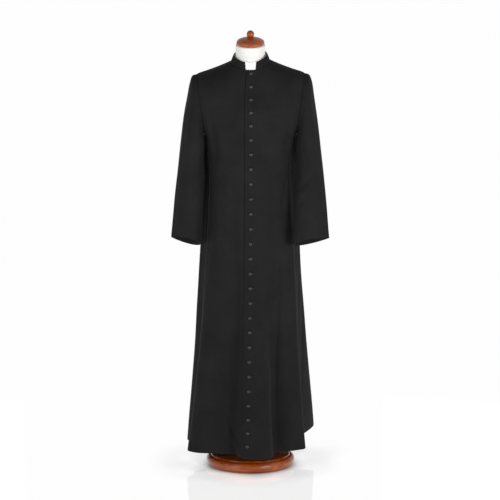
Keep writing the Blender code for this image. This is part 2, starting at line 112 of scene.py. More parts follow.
# %% [markdown]
# The cloth is a fine black wool twill, a suiting weight. Its yarns run in steep diagonal ribs about
# half a millimetre apart, drawn here at 1.3 mm so that they show at all. Wool scatters light at its
# fuzzy surface, so it is rough, has a weak grey sheen at the edges and no shine of its own. The
# colour drifts a little over a hand's width, and lint gives it faint pale specks.

# %% Black wool twill
TWILL_PITCH = 1.3 * MM
YARN_PITCH = 0.9 * MM
WAVE_PERIOD = 2 * math.pi / 20
TWILL_ANGLE = math.radians(63)


def wool_twill(name, dark, light, sheen, roughness, gloss):
    """Black wool cloth with twill ribs that follow the piece's own UV map, in metres."""
    made, tree = new_material(name)
    uv = add_node(tree, "ShaderNodeUVMap", {"uv_map": "grain"}).outputs["UV"]
    place = add_node(tree, "ShaderNodeTexCoord").outputs["Object"]
    turned = add_node(
        tree, "ShaderNodeMapping", inputs={"Vector": uv, "Rotation": (0, 0, TWILL_ANGLE)}
    ).outputs["Vector"]
    ribs = add_node(
        tree, "ShaderNodeTexWave", {"wave_type": "BANDS", "bands_direction": "X"},
        {"Vector": turned, "Scale": WAVE_PERIOD / TWILL_PITCH, "Distortion": 0.6, "Detail Scale": 2.0},
    ).outputs["Fac"]
    yarns = add_node(
        tree, "ShaderNodeTexWave", {"wave_type": "BANDS", "bands_direction": "X"},
        {"Vector": uv, "Scale": WAVE_PERIOD / YARN_PITCH, "Distortion": 0.8, "Detail Scale": 2.0},
    ).outputs["Fac"]
    drift = add_node(
        tree, "ShaderNodeTexNoise", inputs={"Vector": place, "Scale": 9.0, "Detail": 4.0, "Roughness": 0.6}
    ).outputs["Fac"]
    lint = add_node(
        tree, "ShaderNodeTexNoise", inputs={"Vector": place, "Scale": 420.0, "Detail": 3.0, "Roughness": 0.7}
    ).outputs["Fac"]
    weave = add_node(
        tree, "ShaderNodeMath", {"operation": "MULTIPLY_ADD"}, {0: yarns, 1: 0.35, 2: ribs}
    ).outputs[0]
    shade = add_node(
        tree, "ShaderNodeMath", {"operation": "MULTIPLY_ADD"}, {0: lint, 1: 0.5, 2: drift}
    ).outputs[0]
    tone = add_node(
        tree, "ShaderNodeMapRange", inputs={"Value": shade, "From Min": 0.55, "From Max": 0.95}
    ).outputs["Result"]
    colour = add_node(
        tree, "ShaderNodeMix", {"data_type": "RGBA"}, {0: tone, 6: linear(dark), 7: linear(light)}
    ).outputs[2]
    rough = add_node(
        tree, "ShaderNodeMapRange",
        inputs={"Value": lint, "To Min": roughness - 0.06, "To Max": roughness + 0.06},
    ).outputs["Result"]
    fuzz = add_node(
        tree, "ShaderNodeMath", {"operation": "MULTIPLY_ADD"}, {0: lint, 1: 0.7, 2: weave}
    ).outputs[0]
    relief = add_node(
        tree, "ShaderNodeBump", inputs={"Height": fuzz, "Strength": 0.35, "Distance": 0.12 * MM}
    ).outputs["Normal"]
    shader = add_node(
        tree, "ShaderNodeBsdfPrincipled",
        inputs={"Base Color": colour, "Roughness": rough, "Normal": relief, "IOR": 1.45,
                "Specular IOR Level": gloss, "Sheen Weight": sheen, "Sheen Roughness": 0.42,
                "Sheen Tint": linear("#C9CBCC")},
    )
    finish_material(tree, shader)
    return made


cassock_twill = wool_twill(
    "wool twill, woven and pressed", "#171717", "#1E1E1E", sheen=0.03, roughness=0.84, gloss=0.18
)
button_twill = wool_twill(
    "wool twill, stretched over buttons", "#191919", "#222222", sheen=0.1, roughness=0.34, gloss=0.6
)
print("made", cassock_twill.name)

# %% [markdown]
# Two more cloths show, both plain weaves. The clerical band is linen, starched and ironed until it
# is almost as smooth as paper, with a slight gloss. The form's cover is unbleached cotton, thicker
# and quite matt, and its yarns show from a step away. A plain weave is drawn as two sets of waves
# that cross, one for the warp and one for the weft.

# %% Plain-woven linen and cotton
def plain_weave(name, dark, light, roughness, pitch, depth, gloss):
    """A plain weave whose yarns are a pitch apart, in metres, along the piece's UV map."""
    made, tree = new_material(name)
    uv = add_node(tree, "ShaderNodeUVMap", {"uv_map": "grain"}).outputs["UV"]
    place = add_node(tree, "ShaderNodeTexCoord").outputs["Object"]
    waves = []
    for direction in ("X", "Y"):
        waves.append(add_node(
            tree, "ShaderNodeTexWave", {"wave_type": "BANDS", "bands_direction": direction},
            {"Vector": uv, "Scale": WAVE_PERIOD / pitch, "Distortion": 1.0, "Detail Scale": 1.5},
        ).outputs["Fac"])
    weave = add_node(tree, "ShaderNodeMath", {"operation": "MULTIPLY"}, {0: waves[0], 1: waves[1]}).outputs[0]
    cloudy = add_node(
        tree, "ShaderNodeTexNoise", inputs={"Vector": place, "Scale": 14.0, "Detail": 3.0, "Roughness": 0.6}
    ).outputs["Fac"]
    shade = add_node(
        tree, "ShaderNodeMath", {"operation": "MULTIPLY_ADD"}, {0: weave, 1: 0.4, 2: cloudy}
    ).outputs[0]
    tone = add_node(
        tree, "ShaderNodeMapRange", inputs={"Value": shade, "From Min": 0.3, "From Max": 0.9}
    ).outputs["Result"]
    colour = add_node(
        tree, "ShaderNodeMix", {"data_type": "RGBA"}, {0: tone, 6: linear(dark), 7: linear(light)}
    ).outputs[2]
    relief = add_node(
        tree, "ShaderNodeBump", inputs={"Height": weave, "Strength": 0.4, "Distance": depth}
    ).outputs["Normal"]
    shader = add_node(
        tree, "ShaderNodeBsdfPrincipled",
        inputs={"Base Color": colour, "Roughness": roughness, "Normal": relief, "IOR": 1.47,
                "Specular IOR Level": gloss},
    )
    finish_material(tree, shader)
    return made


starched_linen = plain_weave(
    "bleached linen, starched and ironed", "#F7F7F6", "#FDFDFC",
    roughness=0.42, pitch=0.7 * MM, depth=0.03 * MM, gloss=0.45,
)
form_cotton = plain_weave(
    "unbleached cotton, stretched over the form", "#EAE7E3", "#F5F3F0",
    roughness=0.9, pitch=1.1 * MM, depth=0.1 * MM, gloss=0.2,
)
print("made", starched_linen.name, "and", form_cotton.name)

# %% [markdown]
# The wood is beech, stained a deep reddish brown, turned and then varnished to a high gloss. The
# stain sinks deeper into the open grain, so dark streaks run through an orange ground, and beech
# has short dark flecks too. The varnish is a clear coat of its own over the rougher wood. Grain runs
# straight through a turned piece, so its pattern is stretched along one direction of the object.

# %% Varnished beech
GRAIN_STRETCH = (7.0, 42.0, 60.0)
GRAIN_TURN = (0, 0.06, 0.18)
FLECK_STRETCH = (120.0, 700.0, 900.0)


def varnished_beech(name, dark, middle, light):
    """Stained beech under clear varnish, with its grain along the piece's X direction."""
    made, tree = new_material(name)
    place = add_node(tree, "ShaderNodeTexCoord").outputs["Object"]
    stretched = add_node(
        tree, "ShaderNodeMapping",
        inputs={"Vector": place, "Scale": GRAIN_STRETCH, "Rotation": GRAIN_TURN},
    ).outputs["Vector"]
    streaks = add_node(
        tree, "ShaderNodeTexNoise",
        inputs={"Vector": stretched, "Scale": 1.0, "Detail": 5.0, "Roughness": 0.62, "Distortion": 0.8},
    ).outputs["Fac"]
    short = add_node(
        tree, "ShaderNodeMapping", inputs={"Vector": place, "Scale": FLECK_STRETCH}
    ).outputs["Vector"]
    flecks = add_node(
        tree, "ShaderNodeTexNoise", inputs={"Vector": short, "Scale": 1.0, "Detail": 2.0, "Roughness": 0.5}
    ).outputs["Fac"]
    ramp = add_node(tree, "ShaderNodeValToRGB", inputs={"Fac": streaks})
    stops = ramp.color_ramp.elements
    stops[0].position, stops[0].color = 0.3, linear(dark)
    stops[1].position, stops[1].color = 0.72, linear(light)
    between = stops.new(0.5)
    between.color = linear(middle)
    fleck_share = add_node(
        tree, "ShaderNodeMapRange",
        inputs={"Value": flecks, "From Min": 0.58, "From Max": 0.72, "To Max": 0.3},
    ).outputs["Result"]
    colour = add_node(
        tree, "ShaderNodeMix", {"data_type": "RGBA"},
        {0: fleck_share, 6: ramp.outputs["Color"], 7: linear(dark)},
    ).outputs[2]
    relief = add_node(
        tree, "ShaderNodeBump", inputs={"Height": streaks, "Strength": 0.12, "Distance": 0.2 * MM}
    ).outputs["Normal"]
    shader = add_node(
        tree, "ShaderNodeBsdfPrincipled",
        inputs={"Base Color": colour, "Roughness": 0.38, "Normal": relief, "IOR": 1.5,
                "Coat Weight": 0.9, "Coat Roughness": 0.13, "Coat IOR": 1.36, "Specular IOR Level": 0.35},
    )
    finish_material(tree, shader)
    return made


beech = varnished_beech("beech, stained and varnished", "#6A2603", "#9C4207", "#C45F10")
print("made", beech.name)

# %% [markdown]
# The studio is white all round, as in the photo. The floor is a glossy light table, a white acrylic
# board lit from below and drawn as an even glow: it throws no hard shadows. Its glow is darkened by
# painted shade, from an ambient occlusion mask, close under the base and the hem, and it mirrors what
# stands on it as pale ghosts. Two softboxes stand left and right in
# front, at the height of the waist, which gives each turned piece its two soft highlights. Their
# beams are aimed at the chest, so the hem is a little darker. Two weak ones behind keep the back
# from going black.

# %% Floor and lights
FLOOR_HALF = 14.0
FLOOR_GLOW = 1.21
FLOOR_MIRROR = 0.28
PAINTED_SHADE_REACH = 0.18

board, board_tree = new_material("glossy white light table")
# Painted contact shade: an ambient occlusion mask darkens the floor's glow near the base and the hem.
painted_contact_shade = add_node(
    board_tree, "ShaderNodeAmbientOcclusion", {"samples": 12}, {"Distance": PAINTED_SHADE_REACH}
).outputs["Color"]
board_glow = add_node(board_tree, "ShaderNodeEmission", inputs={"Color": painted_contact_shade, "Strength": FLOOR_GLOW})
board_mirror = add_node(
    board_tree, "ShaderNodeBsdfGlossy", inputs={"Color": (1, 1, 1, 1), "Roughness": 0.03}
)
finish_material(board_tree, add_node(
    board_tree, "ShaderNodeMixShader",
    inputs={0: FLOOR_MIRROR, 1: board_glow.outputs[0], 2: board_mirror.outputs[0]},
))
floor_mesh = bpy.data.meshes.new("floor")
corners = [(x * FLOOR_HALF, y * FLOOR_HALF, 0) for x, y in ((-1, -1), (1, -1), (1, 1), (-1, 1))]
floor_mesh.from_pydata(corners, [], [(0, 1, 2, 3)])
floor_mesh.materials.append(board)
floor = bpy.data.objects.new("floor", floor_mesh)
bpy.context.scene.collection.objects.link(floor)


def softbox(name, azimuth, distance, height, size, power, beam, aim=1.3):
    """A soft rectangular light at an azimuth to the camera's right, with its beam in degrees."""
    data = bpy.data.lights.new(name, "AREA")
    data.shape = "RECTANGLE"
    data.size, data.size_y = size
    data.energy = power
    data.spread = math.radians(beam)
    lamp = bpy.data.objects.new(name, data)
    turn = math.radians(azimuth)
    lamp.location = (distance * math.sin(turn), -distance * math.cos(turn), height)
    lamp.rotation_euler = (lamp.location - Vector((0, 0, aim))).to_track_quat("Z", "Y").to_euler()
    bpy.context.scene.collection.objects.link(lamp)


softbox("right_softbox", 41, 3.9, 1.25, (1.9, 1.6), 10.4, 60)
softbox("left_softbox", -41, 3.9, 1.25, (1.9, 1.6), 6.2, 60)
softbox("back_right_softbox", 165, 4.2, 1.6, (1.2, 1.6), 0.8, 90)
softbox("back_left_softbox", -160, 4.2, 1.6, (1.2, 1.6), 1.6, 90)
surround = bpy.data.worlds.new("white surround")
surround.use_nodes = True
surround.node_tree.nodes["Background"].inputs["Color"].default_value = linear("#FFFFFF")
surround.node_tree.nodes["Background"].inputs["Strength"].default_value = 0.42
bpy.context.scene.world = surround
bpy.context.scene.view_settings.view_transform = "Standard"

# %% [markdown]
# A surface in this script is a function of a height and an angle, the same one that shapes the
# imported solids. Reading it on a fine grid gives smooth cloth exactly where the solid is. Short
# tables hold the garment's rings, and this reader follows them along curves that never overshoot.

# %% Table reader
def smooth(rows, at):
    """Reads a table's other columns at values of its first one."""
    table = np.array(rows, float)
    x, y = table[:, 0], table[:, 1:]
    slope = np.diff(y, axis=0) / np.diff(x)[:, None]
    before, after = slope[:-1], slope[1:]
    same_way = before * after > 0
    mean = 2 * before * after / np.where(same_way, before + after, 1)
    tangent = np.vstack([slope[:1], np.where(same_way, mean, 0), slope[-1:]])
    at = np.clip(np.asarray(at, float), x[0], x[-1])
    place = np.clip(np.searchsorted(x, at, side="right") - 1, 0, len(x) - 2)
    span = (x[1:] - x[:-1])[place][..., None]
    t = (at - x[place])[..., None] / span
    low = (1 + 2 * t) * (1 - t) ** 2 * y[place] + t * (1 - t) ** 2 * span * tangent[place]
    high = t * t * (3 - 2 * t) * y[place + 1] + t * t * (t - 1) * span * tangent[place + 1]
    return low + high


def ease(t):
    """Goes smoothly from 0 at t = 0 to 1 at t = 1."""
    t = np.clip(t, 0, 1)
    return t * t * (3 - 2 * t)


def signed_power(value, exponent):
    return np.sign(value) * np.abs(value) ** exponent


def unit(vectors):
    return vectors / np.linalg.norm(vectors, axis=-1, keepdims=True)


print("a curve through (0, 0), (1, 2), (2, 2) at 0.5:", smooth(((0, 0), (1, 2), (2, 2)), 0.5))

# %% [markdown]
# The body of a cassock is cut in four long panels with no waist seam. These rings give its girth
# from hem to neck, in millimetres: the heights at side, front and back, the half width, the two
# depths, and a squareness that is 2 for an ellipse. The flutes are the big soft folds that the
# flare of the cut makes below the waist.

# %% The garment's rings and flutes
HEM_Z = 78.0
NECK_Z = 1614.0
ARMHOLE_TOP_Z = 1562.0
ARMHOLE_FOOT_Z = 1325.0
ARMHOLE_TOP_X = 210.0
ARMHOLE_FOOT_X = 178.0
ARMHOLE_HALF_DEPTH = 78.0

RING_COLUMNS = ("front_z", "back_z", "half_width", "front", "back", "power", "inset")
RINGS = (
    (78, 78, 78, 230, 150, 262, 2.1, 40),
    (150, 150, 150, 224, 147, 250, 2.1, 40),
    (250, 250, 250, 216, 142, 232, 2.1, 40),
    (400, 400, 400, 205, 136, 206, 2.1, 40),
    (550, 550, 550, 196, 131, 184, 2.1, 40),
    (700, 700, 700, 189, 127, 164, 2.1, 30),
    (850, 850, 850, 181, 123, 147, 2.1, 22),
    (935, 935, 935, 176, 121, 140, 2.1, 18),
    (1050, 1050, 1050, 170, 118, 130, 2.1, 16),
    (1160, 1160, 1160, 167, 117, 123, 2.1, 18),
    (1260, 1260, 1260, 170, 121, 124, 2.2, 16),
    (1325, 1325, 1325, 178, 124, 127, 2.3, 14),
    (1443, 1438, 1440, 194, 121, 126, 2.4, 11),
    (1500, 1478, 1484, 202, 112, 121, 2.4, 9),
    (1540, 1506, 1513, 207, 105, 114, 2.3, 5),
    (1562, 1522, 1532, 210, 100, 108, 2.2, 2.2),
    (1574, 1540, 1554, 183, 97, 102, 2.1, 1.3),
    (1588, 1560, 1580, 143, 92, 95, 2.0, 1.1),
    (1601, 1581, 1602, 108, 85, 86, 2.0, 0.8),
    (1614, 1600, 1620, 78, 78, 76, 2.0, 0.6),
)

FLUTE_GROWTH = 1.2
FLUTE_COLUMNS = (
    "top_angle", "hem_angle", "width", "shape", "start_z", "mid_z", "mid_out", "hem_out", "hem_lift"
)
FLUTES = (
    (3, 4, 13.5, 4, 1180, 900, 8, 98, 0),
    (31, 28, 8, 2, 1250, 900, -7, -18, 0),
    (-22, -20, 8, 2, 1250, 900, -6, 16, 0),
    (-52, -50, 20, 2.6, 1300, 900, 5, 57, 0),
    (64, 62, 9, 2, 1330, 1000, 6, 8, 0),
    (82, 88, 13, 2, 1330, 1150, -12, -36, 0),
    (104, 112, 15, 2, 1325, 1240, 16, -26, 0),
    (104, 134, 11, 2, 1250, 900, 26, 115, 17),
    (-84, -88, 9, 2, 1330, 1150, -10, -26, 0),
    (-103, -109, 15, 2, 1325, 1240, 20, 28, 2),
    (-138, -136, 13, 2.4, 1180, 900, 12, 56, 5),
    (150, 158, 8, 2, 1180, 900, -6, -24, 0),
    (-160, -158, 10, 2, 1150, 900, -8, -34, 0),
    (180, 179, 12, 2, 1180, 900, 8, 46, 3),
)

# The wearer's left shoulder is a little higher than the right one, from the collar outwards, and
# both shoulders stay up to the very ends of their seams.
HIGH_SHOULDER = 4.6
SEAM_END_LIFT = 2.4


def lean(points):
    """Points in millimetres with the shoulders, the collar and the sleeve heads raised a little."""
    x, z = points[..., 0], points[..., 2]
    lift = HIGH_SHOULDER * ease((x - 10) / 60) * ease((z - 1380) / 130) * (1 - ease((z - 1650) / 30))
    lift = lift + SEAM_END_LIFT * ease((np.abs(x) - 160) / 50) * ease((z - 1480) / 70)
    return points + np.stack([0 * lift, 0 * lift, lift], axis=-1)


def ring_at(height):
    """The named columns of RINGS at the heights of the side."""
    columns = smooth(RINGS, height)
    ring = {name: columns[..., i] for i, name in enumerate(RING_COLUMNS)}
    ring["side_z"] = np.asarray(height, float)
    return ring


def flutes_at(degrees, height):
    """How far the flutes push the cloth out at an angle and a height, and how far they lift it."""
    down = (NECK_Z - height) / (NECK_Z - HEM_Z)
    out = np.zeros(np.broadcast(degrees, height).shape)
    lift = out.copy()
    for row in FLUTES:
        flute = dict(zip(FLUTE_COLUMNS, row))
        middle = flute["top_angle"] + (flute["hem_angle"] - flute["top_angle"]) * down
        away = (degrees - middle + 180) % 360 - 180
        upper = flute["mid_out"] * ease((flute["start_z"] - height) / (flute["start_z"] - flute["mid_z"]))
        below = np.clip((flute["mid_z"] - height) / (flute["mid_z"] - HEM_Z), 0, None)
        lower = flute["mid_out"] + (flute["hem_out"] - flute["mid_out"]) * below**FLUTE_GROWTH
        profile = np.exp(-(np.abs(away / flute["width"]) ** flute["shape"]))
        out += np.where(height >= flute["mid_z"], upper, lower) * profile
        lift += flute["hem_lift"] * below**2 * profile
    return out, lift


print("girth rings:", len(RINGS), "flutes:", len(FLUTES))

# %% [markdown]
# The armhole is an ellipse in a plane that leans in towards its foot. Between its heights, a panel
# ends on that ellipse. Above it the panels meet along the shoulder, and below it along the side.

# %% The body's surface
def armhole_at(height):
    """Where the armhole is open, its half depth there, and how far it is from the middle."""
    middle, half = (ARMHOLE_TOP_Z + ARMHOLE_FOOT_Z) / 2, (ARMHOLE_TOP_Z - ARMHOLE_FOOT_Z) / 2
    part = (np.asarray(height, float) - middle) / half
    depth = ARMHOLE_HALF_DEPTH * np.sqrt(np.clip(1 - part**2, 0, None))
    x = (ARMHOLE_TOP_X + ARMHOLE_FOOT_X) / 2 + part * (ARMHOLE_TOP_X - ARMHOLE_FOOT_X) / 2
    return np.abs(part) < 1, depth, x


def edge_angle(height, face):
    """The angle from the centre front or back at which a panel ends at its side edge."""
    is_open, depth, _ = armhole_at(height)
    ring = ring_at(height)
    edge = np.arccos(np.clip(depth / ring[face], 0, 1) ** (ring["power"] / 2))
    return np.where(is_open, edge, math.pi / 2)


def body_point(height, angle, side, face, half_width=None, edge=math.pi / 2):
    """Points of the plain body, before folds, in millimetres."""
    ring = ring_at(height)
    round_off = 2 / ring["power"]
    width = ring["half_width"] if half_width is None else half_width
    x = side * width * signed_power(np.sin(angle), round_off)
    y = ring[face] * signed_power(np.cos(angle), round_off)
    level = np.cos(math.pi / 2 * angle / edge) ** 2
    z = ring["side_z"] - (ring["side_z"] - ring[face + "_z"]) * level
    return np.stack(np.broadcast_arrays(x, -y if face == "front" else y, z), axis=-1)


def cloth_point(height, angle, side, face):
    """Points of the garment's outer surface, with its armhole and its flutes."""
    is_open, _, armhole_x = armhole_at(height)
    edge = edge_angle(height, face)
    ring = ring_at(height)
    open_width = armhole_x / np.sin(edge) ** (2 / ring["power"])
    half_width = np.where(is_open, open_width, ring["half_width"])
    points = body_point(height, angle, side, face, half_width, edge)
    degrees = np.degrees(angle)
    if face == "back":
        degrees = 180 - degrees
    out, lift = flutes_at(side * degrees, height)
    grow = 1 + out / np.hypot(points[..., 0], points[..., 1])
    return points * np.stack([grow, grow, np.ones_like(grow)], axis=-1) + lift[..., None] * (0, 0, 1)


print("half width at the hem:", round(float(cloth_point(HEM_Z, math.pi / 2, 1, "front")[0])), "mm")

# %% [markdown]
# Worn cloth is never as clean as its cut. These tables place the main creases, each one a
# soft trough or ridge along its own path. The front ones are read from the photo, and the hidden
# sides have similar ones. A row names the side that it is seen from, half its width, its height
# (minus for a trough), and its path from top to foot as places across that side and heights, all in
# millimetres. Left and right are the wearer's.

# %% Creases of the body
CREASES = (
    ("front", 8, -2.2, ((66, 1330), (54, 1250), (41, 1169), (36, 1020))),
    ("front", 9, -2.6, ((92, 1060), (83, 952), (71, 831), (68, 735), (61, 641), (49, 545), (38, 430),
                        (28, 240))),
    ("front", 9, 2.2, ((104, 900), (99, 831), (92, 641), (78, 545), (73, 330), (71, 90))),
    ("front", 7, -3.6, ((118, 1010), (115, 900), (115, 735), (109, 641), (101, 470), (97, 325), (93, 40))),
    ("front", 6, -2.6, ((146, 1200), (141, 1160), (131, 1110), (125, 1060), (124, 900))),
    ("front", 10, 2.0, ((152, 1190), (150, 1080), (152, 900))),
    ("front", 9, -2.4, ((-79, 1240), (-76, 1169), (-71, 1024), (-65, 880), (-60, 735), (-61, 592),
                        (-54, 420))),
    ("front", 8, 1.6, ((-46, 1180), (-42, 1000), (-37, 700), (-40, 430))),
    ("front", 6, -3.0, ((-90, 270), (-82, 215), (-68, 160), (-34, 112))),
    ("front", 5, -2.2, ((-79, 125), (-66, 100), (-50, 70))),
    ("front", 10, 1.8, ((-116, 420), (-120, 250), (-126, 60))),
    ("front", 7, -1.8, ((-104, 330), (-104, 200), (-108, 60))),
    ("front", 16, -5.5, ((-160, 1440), (-150, 1360), (-140, 1270), (-136, 1180))),
    ("front", 15, -5.0, ((164, 1440), (152, 1370), (143, 1280), (142, 1180))),
    ("front", 9, 1.8, ((-176, 1430), (-162, 1340), (-150, 1240))),
    ("front", 9, 1.6, ((176, 1420), (163, 1330), (154, 1230))),
    ("front", 7, -1.4, ((118, 140), (121, 105), (123, 60))),
    ("front", 5, -1.8, ((139, 150), (136, 110), (134, 60))),
    ("front", 12, -1.6, ((-118, 1120), (-112, 960), (-108, 760))),
    ("front", 12, -1.8, ((-150, 1090), (-147, 930), (-150, 690), (-158, 430))),
    ("back", 12, -2.6, ((58, 1500), (66, 1420), (78, 1340), (96, 1270))),
    ("back", 12, -2.4, ((-52, 1506), (-64, 1424), (-80, 1350), (-99, 1262))),
    ("back", 10, -2.0, ((98, 1480), (112, 1400), (126, 1310))),
    ("back", 10, -2.2, ((-104, 1478), (-115, 1392), (-130, 1316))),
    ("back", 9, 1.8, ((34, 1150), (44, 960), (58, 700), (66, 420))),
    ("back", 9, 1.6, ((-30, 1160), (-46, 950), (-52, 730), (-70, 390))),
    ("back", 8, -2.8, ((84, 1120), (96, 900), (112, 640), (118, 380), (122, 100))),
    ("back", 8, -2.4, ((-88, 1090), (-99, 860), (-109, 610), (-121, 330), (-126, 70))),
    ("back", 7, -2.2, ((18, 420), (26, 250), (30, 50))),
    ("back", 7, -2.0, ((-22, 380), (-30, 210), (-29, 50))),
    ("back", 11, -1.8, ((-16, 1330), (22, 1306), (60, 1296))),
    ("back", 11, -1.6, ((14, 1226), (-24, 1204), (-62, 1196))),
    ("left", 10, -3.0, ((-44, 1270), (-52, 1130), (-66, 930), (-74, 640), (-82, 330))),
    ("left", 9, 2.4, ((38, 1290), (46, 1100), (62, 840), (74, 520), (84, 180))),
    ("left", 8, -2.6, ((8, 1240), (12, 1040), (22, 790), (30, 500))),
    ("left", 7, -2.0, ((-24, 620), (-30, 380), (-34, 90))),
    ("left", 8, -2.4, ((94, 720), (108, 430), (120, 90))),
    ("left", 12, 8.5, ((38, 1325), (42, 1290), (46, 1190))),
    ("right", 10, -3.0, ((-40, 1276), (-50, 1110), (-60, 900), (-70, 610))),
    ("right", 9, 2.2, ((34, 1280), (48, 1080), (58, 860), (78, 540), (86, 160))),
    ("right", 8, -2.4, ((2, 1230), (10, 1010), (16, 760), (24, 470))),
    ("right", 8, -2.2, ((-18, 560), (-26, 320), (-28, 60))),
    ("right", 8, -2.6, ((98, 690), (106, 410), (116, 100))),
    ("right", 12, 8.5, ((38, 1325), (42, 1290), (46, 1190))),
)
CREASE_SAMPLES = 28
CREASE_FADE = 0.3


def crease_push(across, along, creases):
    """How far a set of creases, each (half width, height, path), moves the cloth out."""
    total = np.zeros(across.shape)
    for half_width, out, path in creases:
        steps = np.linspace(0, len(path) - 1, CREASE_SAMPLES)
        knots = smooth([(i, *point) for i, point in enumerate(path)], steps)
        reach = 3 * half_width
        low, high = knots.min(axis=0) - reach, knots.max(axis=0) + reach
        near = (across > low[0]) & (across < high[0]) & (along > low[1]) & (along < high[1])
        if not near.any():
            continue
        here = np.stack([across[near], along[near]], axis=-1)[:, None]
        start, span = knots[:-1], np.diff(knots, axis=0)
        t = np.clip(((here - start) * span).sum(-1) / (span * span).sum(-1), 0, 1)
        away = np.linalg.norm(here - start - t[..., None] * span, axis=-1)
        nearest = away.argmin(axis=1)
        rows = np.arange(len(nearest))
        place = (nearest + t[rows, nearest]) / (CREASE_SAMPLES - 1)
        fade = ease(place / CREASE_FADE) * ease((1 - place) / CREASE_FADE)
        total[near] += out * fade * np.exp(-((away[rows, nearest] / half_width) ** 2))
    return total


def body_creases(points):
    """How far the body's creases push each point of the cloth out."""
    x, y, z = points[..., 0], points[..., 1], points[..., 2]
    views = {"front": (x, -y), "back": (x, y), "left": (y, x), "right": (y, -x)}
    total = np.zeros(x.shape)
    for view, (across, nearness) in views.items():
        rows = [row[1:] for row in CREASES if row[0] == view]
        total += crease_push(across, z, rows) * ease(nearness / 45)
    return total


print("body creases:", len(CREASES))

# %% [markdown]
# Between the creases the cloth still rises and falls by half a millimetre or so, over a hand's
# width. A few long waves in unlike directions give that, and no two places get the same pattern.

# %% Slack
SLACK_WAVES = ((0.021, 0.006, 0.3, 0.42), (-0.013, 0.017, 1.9, 0.36), (0.034, -0.004, 4.1, 0.22),
               (0.009, 0.029, 2.6, 0.2), (-0.041, 0.011, 5.2, 0.14))


def slack(points):
    """A gentle unevenness, in millimetres, that follows the body's girth and height."""
    girth = np.degrees(np.arctan2(points[..., 0], -points[..., 1])) * 3
    total = np.zeros(girth.shape)
    for across, along, start, size in SLACK_WAVES:
        total += size * np.sin(across * girth * 2 + along * points[..., 2] + start)
    return total


print("slack at most:", round(sum(row[3] for row in SLACK_WAVES), 2), "mm")

# %% [markdown]
# A piece of cloth is made from one grid of points on its outer side. The wall between the outer and
# the inner side closes at the rim, where both meet at one depth. A sewn edge rolls in over a few
# millimetres, so two pieces that meet make the soft valley of a real seam. A free edge, such as a
# hem, is a fold of the cloth with a small radius. The piece also gets a UV map in metres along its
# own grain, which the twill follows.

# %% Cloth walls
CLOTH = 1.5
SEWN_EDGE = (2.6, 0.6)
ARMHOLE_EDGE = (1.6, 0.35)
FREE_EDGE = (1.1, 0.7)
TURNED_UP = 1.1
hem_rows = []


def roll(distance, radius):
    """0 away from an edge, and 1 at the edge, along a quarter circle."""
    return 1 - np.sqrt(1 - np.clip(1 - distance / radius, 0, 1) ** 2)


def lengths_along(points, axis):
    """Lengths along a grid's lines from their first point, in millimetres."""
    steps = np.linalg.norm(np.diff(points, axis=axis), axis=-1)
    start = np.zeros_like(np.take(steps, [0], axis=axis))
    return np.concatenate([start, np.cumsum(steps, axis=axis)], axis=axis)


def grid_normals(points, outwards):
    """Unit normals of a grid of points, on the side of outwards."""
    normals = unit(np.cross(np.gradient(points, axis=1), np.gradient(points, axis=0)))
    flip = (normals * outwards).sum(-1, keepdims=True) < 0
    return np.where(flip, -normals, normals)


def grid_quads(index):
    """The quads between the points of a grid of vertex numbers."""
    return np.stack([index[:-1, :-1], index[:-1, 1:], index[1:, 1:], index[1:, :-1]], axis=-1).reshape(-1, 4)


def mesh_object(name, vertices, quads, material, uv=None):
    """An object from vertices in metres and quads, smooth, with its UV map if it has one."""
    mesh = bpy.data.meshes.new(name)
    mesh.from_pydata(vertices, [], quads)
    if uv is not None:
        layer = mesh.uv_layers.new(name="grain")
        corners = np.empty(len(mesh.loops), int)
        mesh.loops.foreach_get("vertex_index", corners)
        layer.data.foreach_set("uv", uv[corners].astype(np.float32).ravel())
    mesh.shade_smooth()
    mesh.materials.append(material)
    made = bpy.data.objects.new(name, mesh)
    bpy.context.scene.collection.objects.link(made)
    return made


def cloth_wall(name, outer, normals, edges, material, thickness=CLOTH, hem=None):
    """A closed thin wall behind a grid of outer points.

    Edges are (radius, depth) by side. A hem is (side, height): there the cloth is turned up inside,
    so the wall is thicker up to that height.
    """
    shape = outer.shape[:2]
    across, along = lengths_along(outer, 1), lengths_along(outer, 0)
    from_edge = {"start": across, "end": across[:, -1:] - across, "foot": along, "top": along[-1:] - along}
    sunk = np.zeros(shape)
    raised = np.zeros(shape)
    for side, (radius, depth) in edges.items():
        sunk = np.maximum(sunk, depth * roll(from_edge[side], radius))
        raised = np.maximum(raised, (thickness - depth) * roll(from_edge[side], thickness))
    turned_up = 0 if hem is None else TURNED_UP * (1 - ease((from_edge[hem[0]] - hem[1]) / 5))
    inner_depth = np.maximum(thickness + turned_up - raised * (1 + turned_up / thickness), sunk + 0.02)
    outside = outer - normals * sunk[..., None]
    inside = outer - normals * inner_depth[..., None]
    number = np.arange(shape[0] * shape[1]).reshape(shape)
    inner_number = number + number.size
    inner_number[[0, -1], :] = number[[0, -1], :]
    inner_number[:, [0, -1]] = number[:, [0, -1]]
    quads = np.vstack([grid_quads(number), grid_quads(inner_number)[:, ::-1]])
    a, b, c = outside[0, 0], outside[0, 1], outside[1, 0]
    if np.dot(np.cross(b - a, c - a), normals[0, 0]) < 0:
        quads = quads[:, ::-1]
    vertices = lean(np.vstack([outside.reshape(-1, 3), inside.reshape(-1, 3)])) * MM
    if hem is not None:
        row = int(np.abs(from_edge[hem[0]][:, shape[1] // 2] - hem[1]).argmin())
        hem_rows.append((lean(inside[row, 3:-3]) * MM, -normals[row, 3:-3]))
    uv = np.stack([across, along], axis=-1).reshape(-1, 2) * MM
    used = np.unique(quads)
    renumber = np.full(len(vertices), -1)
    renumber[used] = np.arange(len(used))
    made = mesh_object(name, vertices[used], renumber[quads].tolist(), material, np.vstack([uv, uv])[used])
    return made


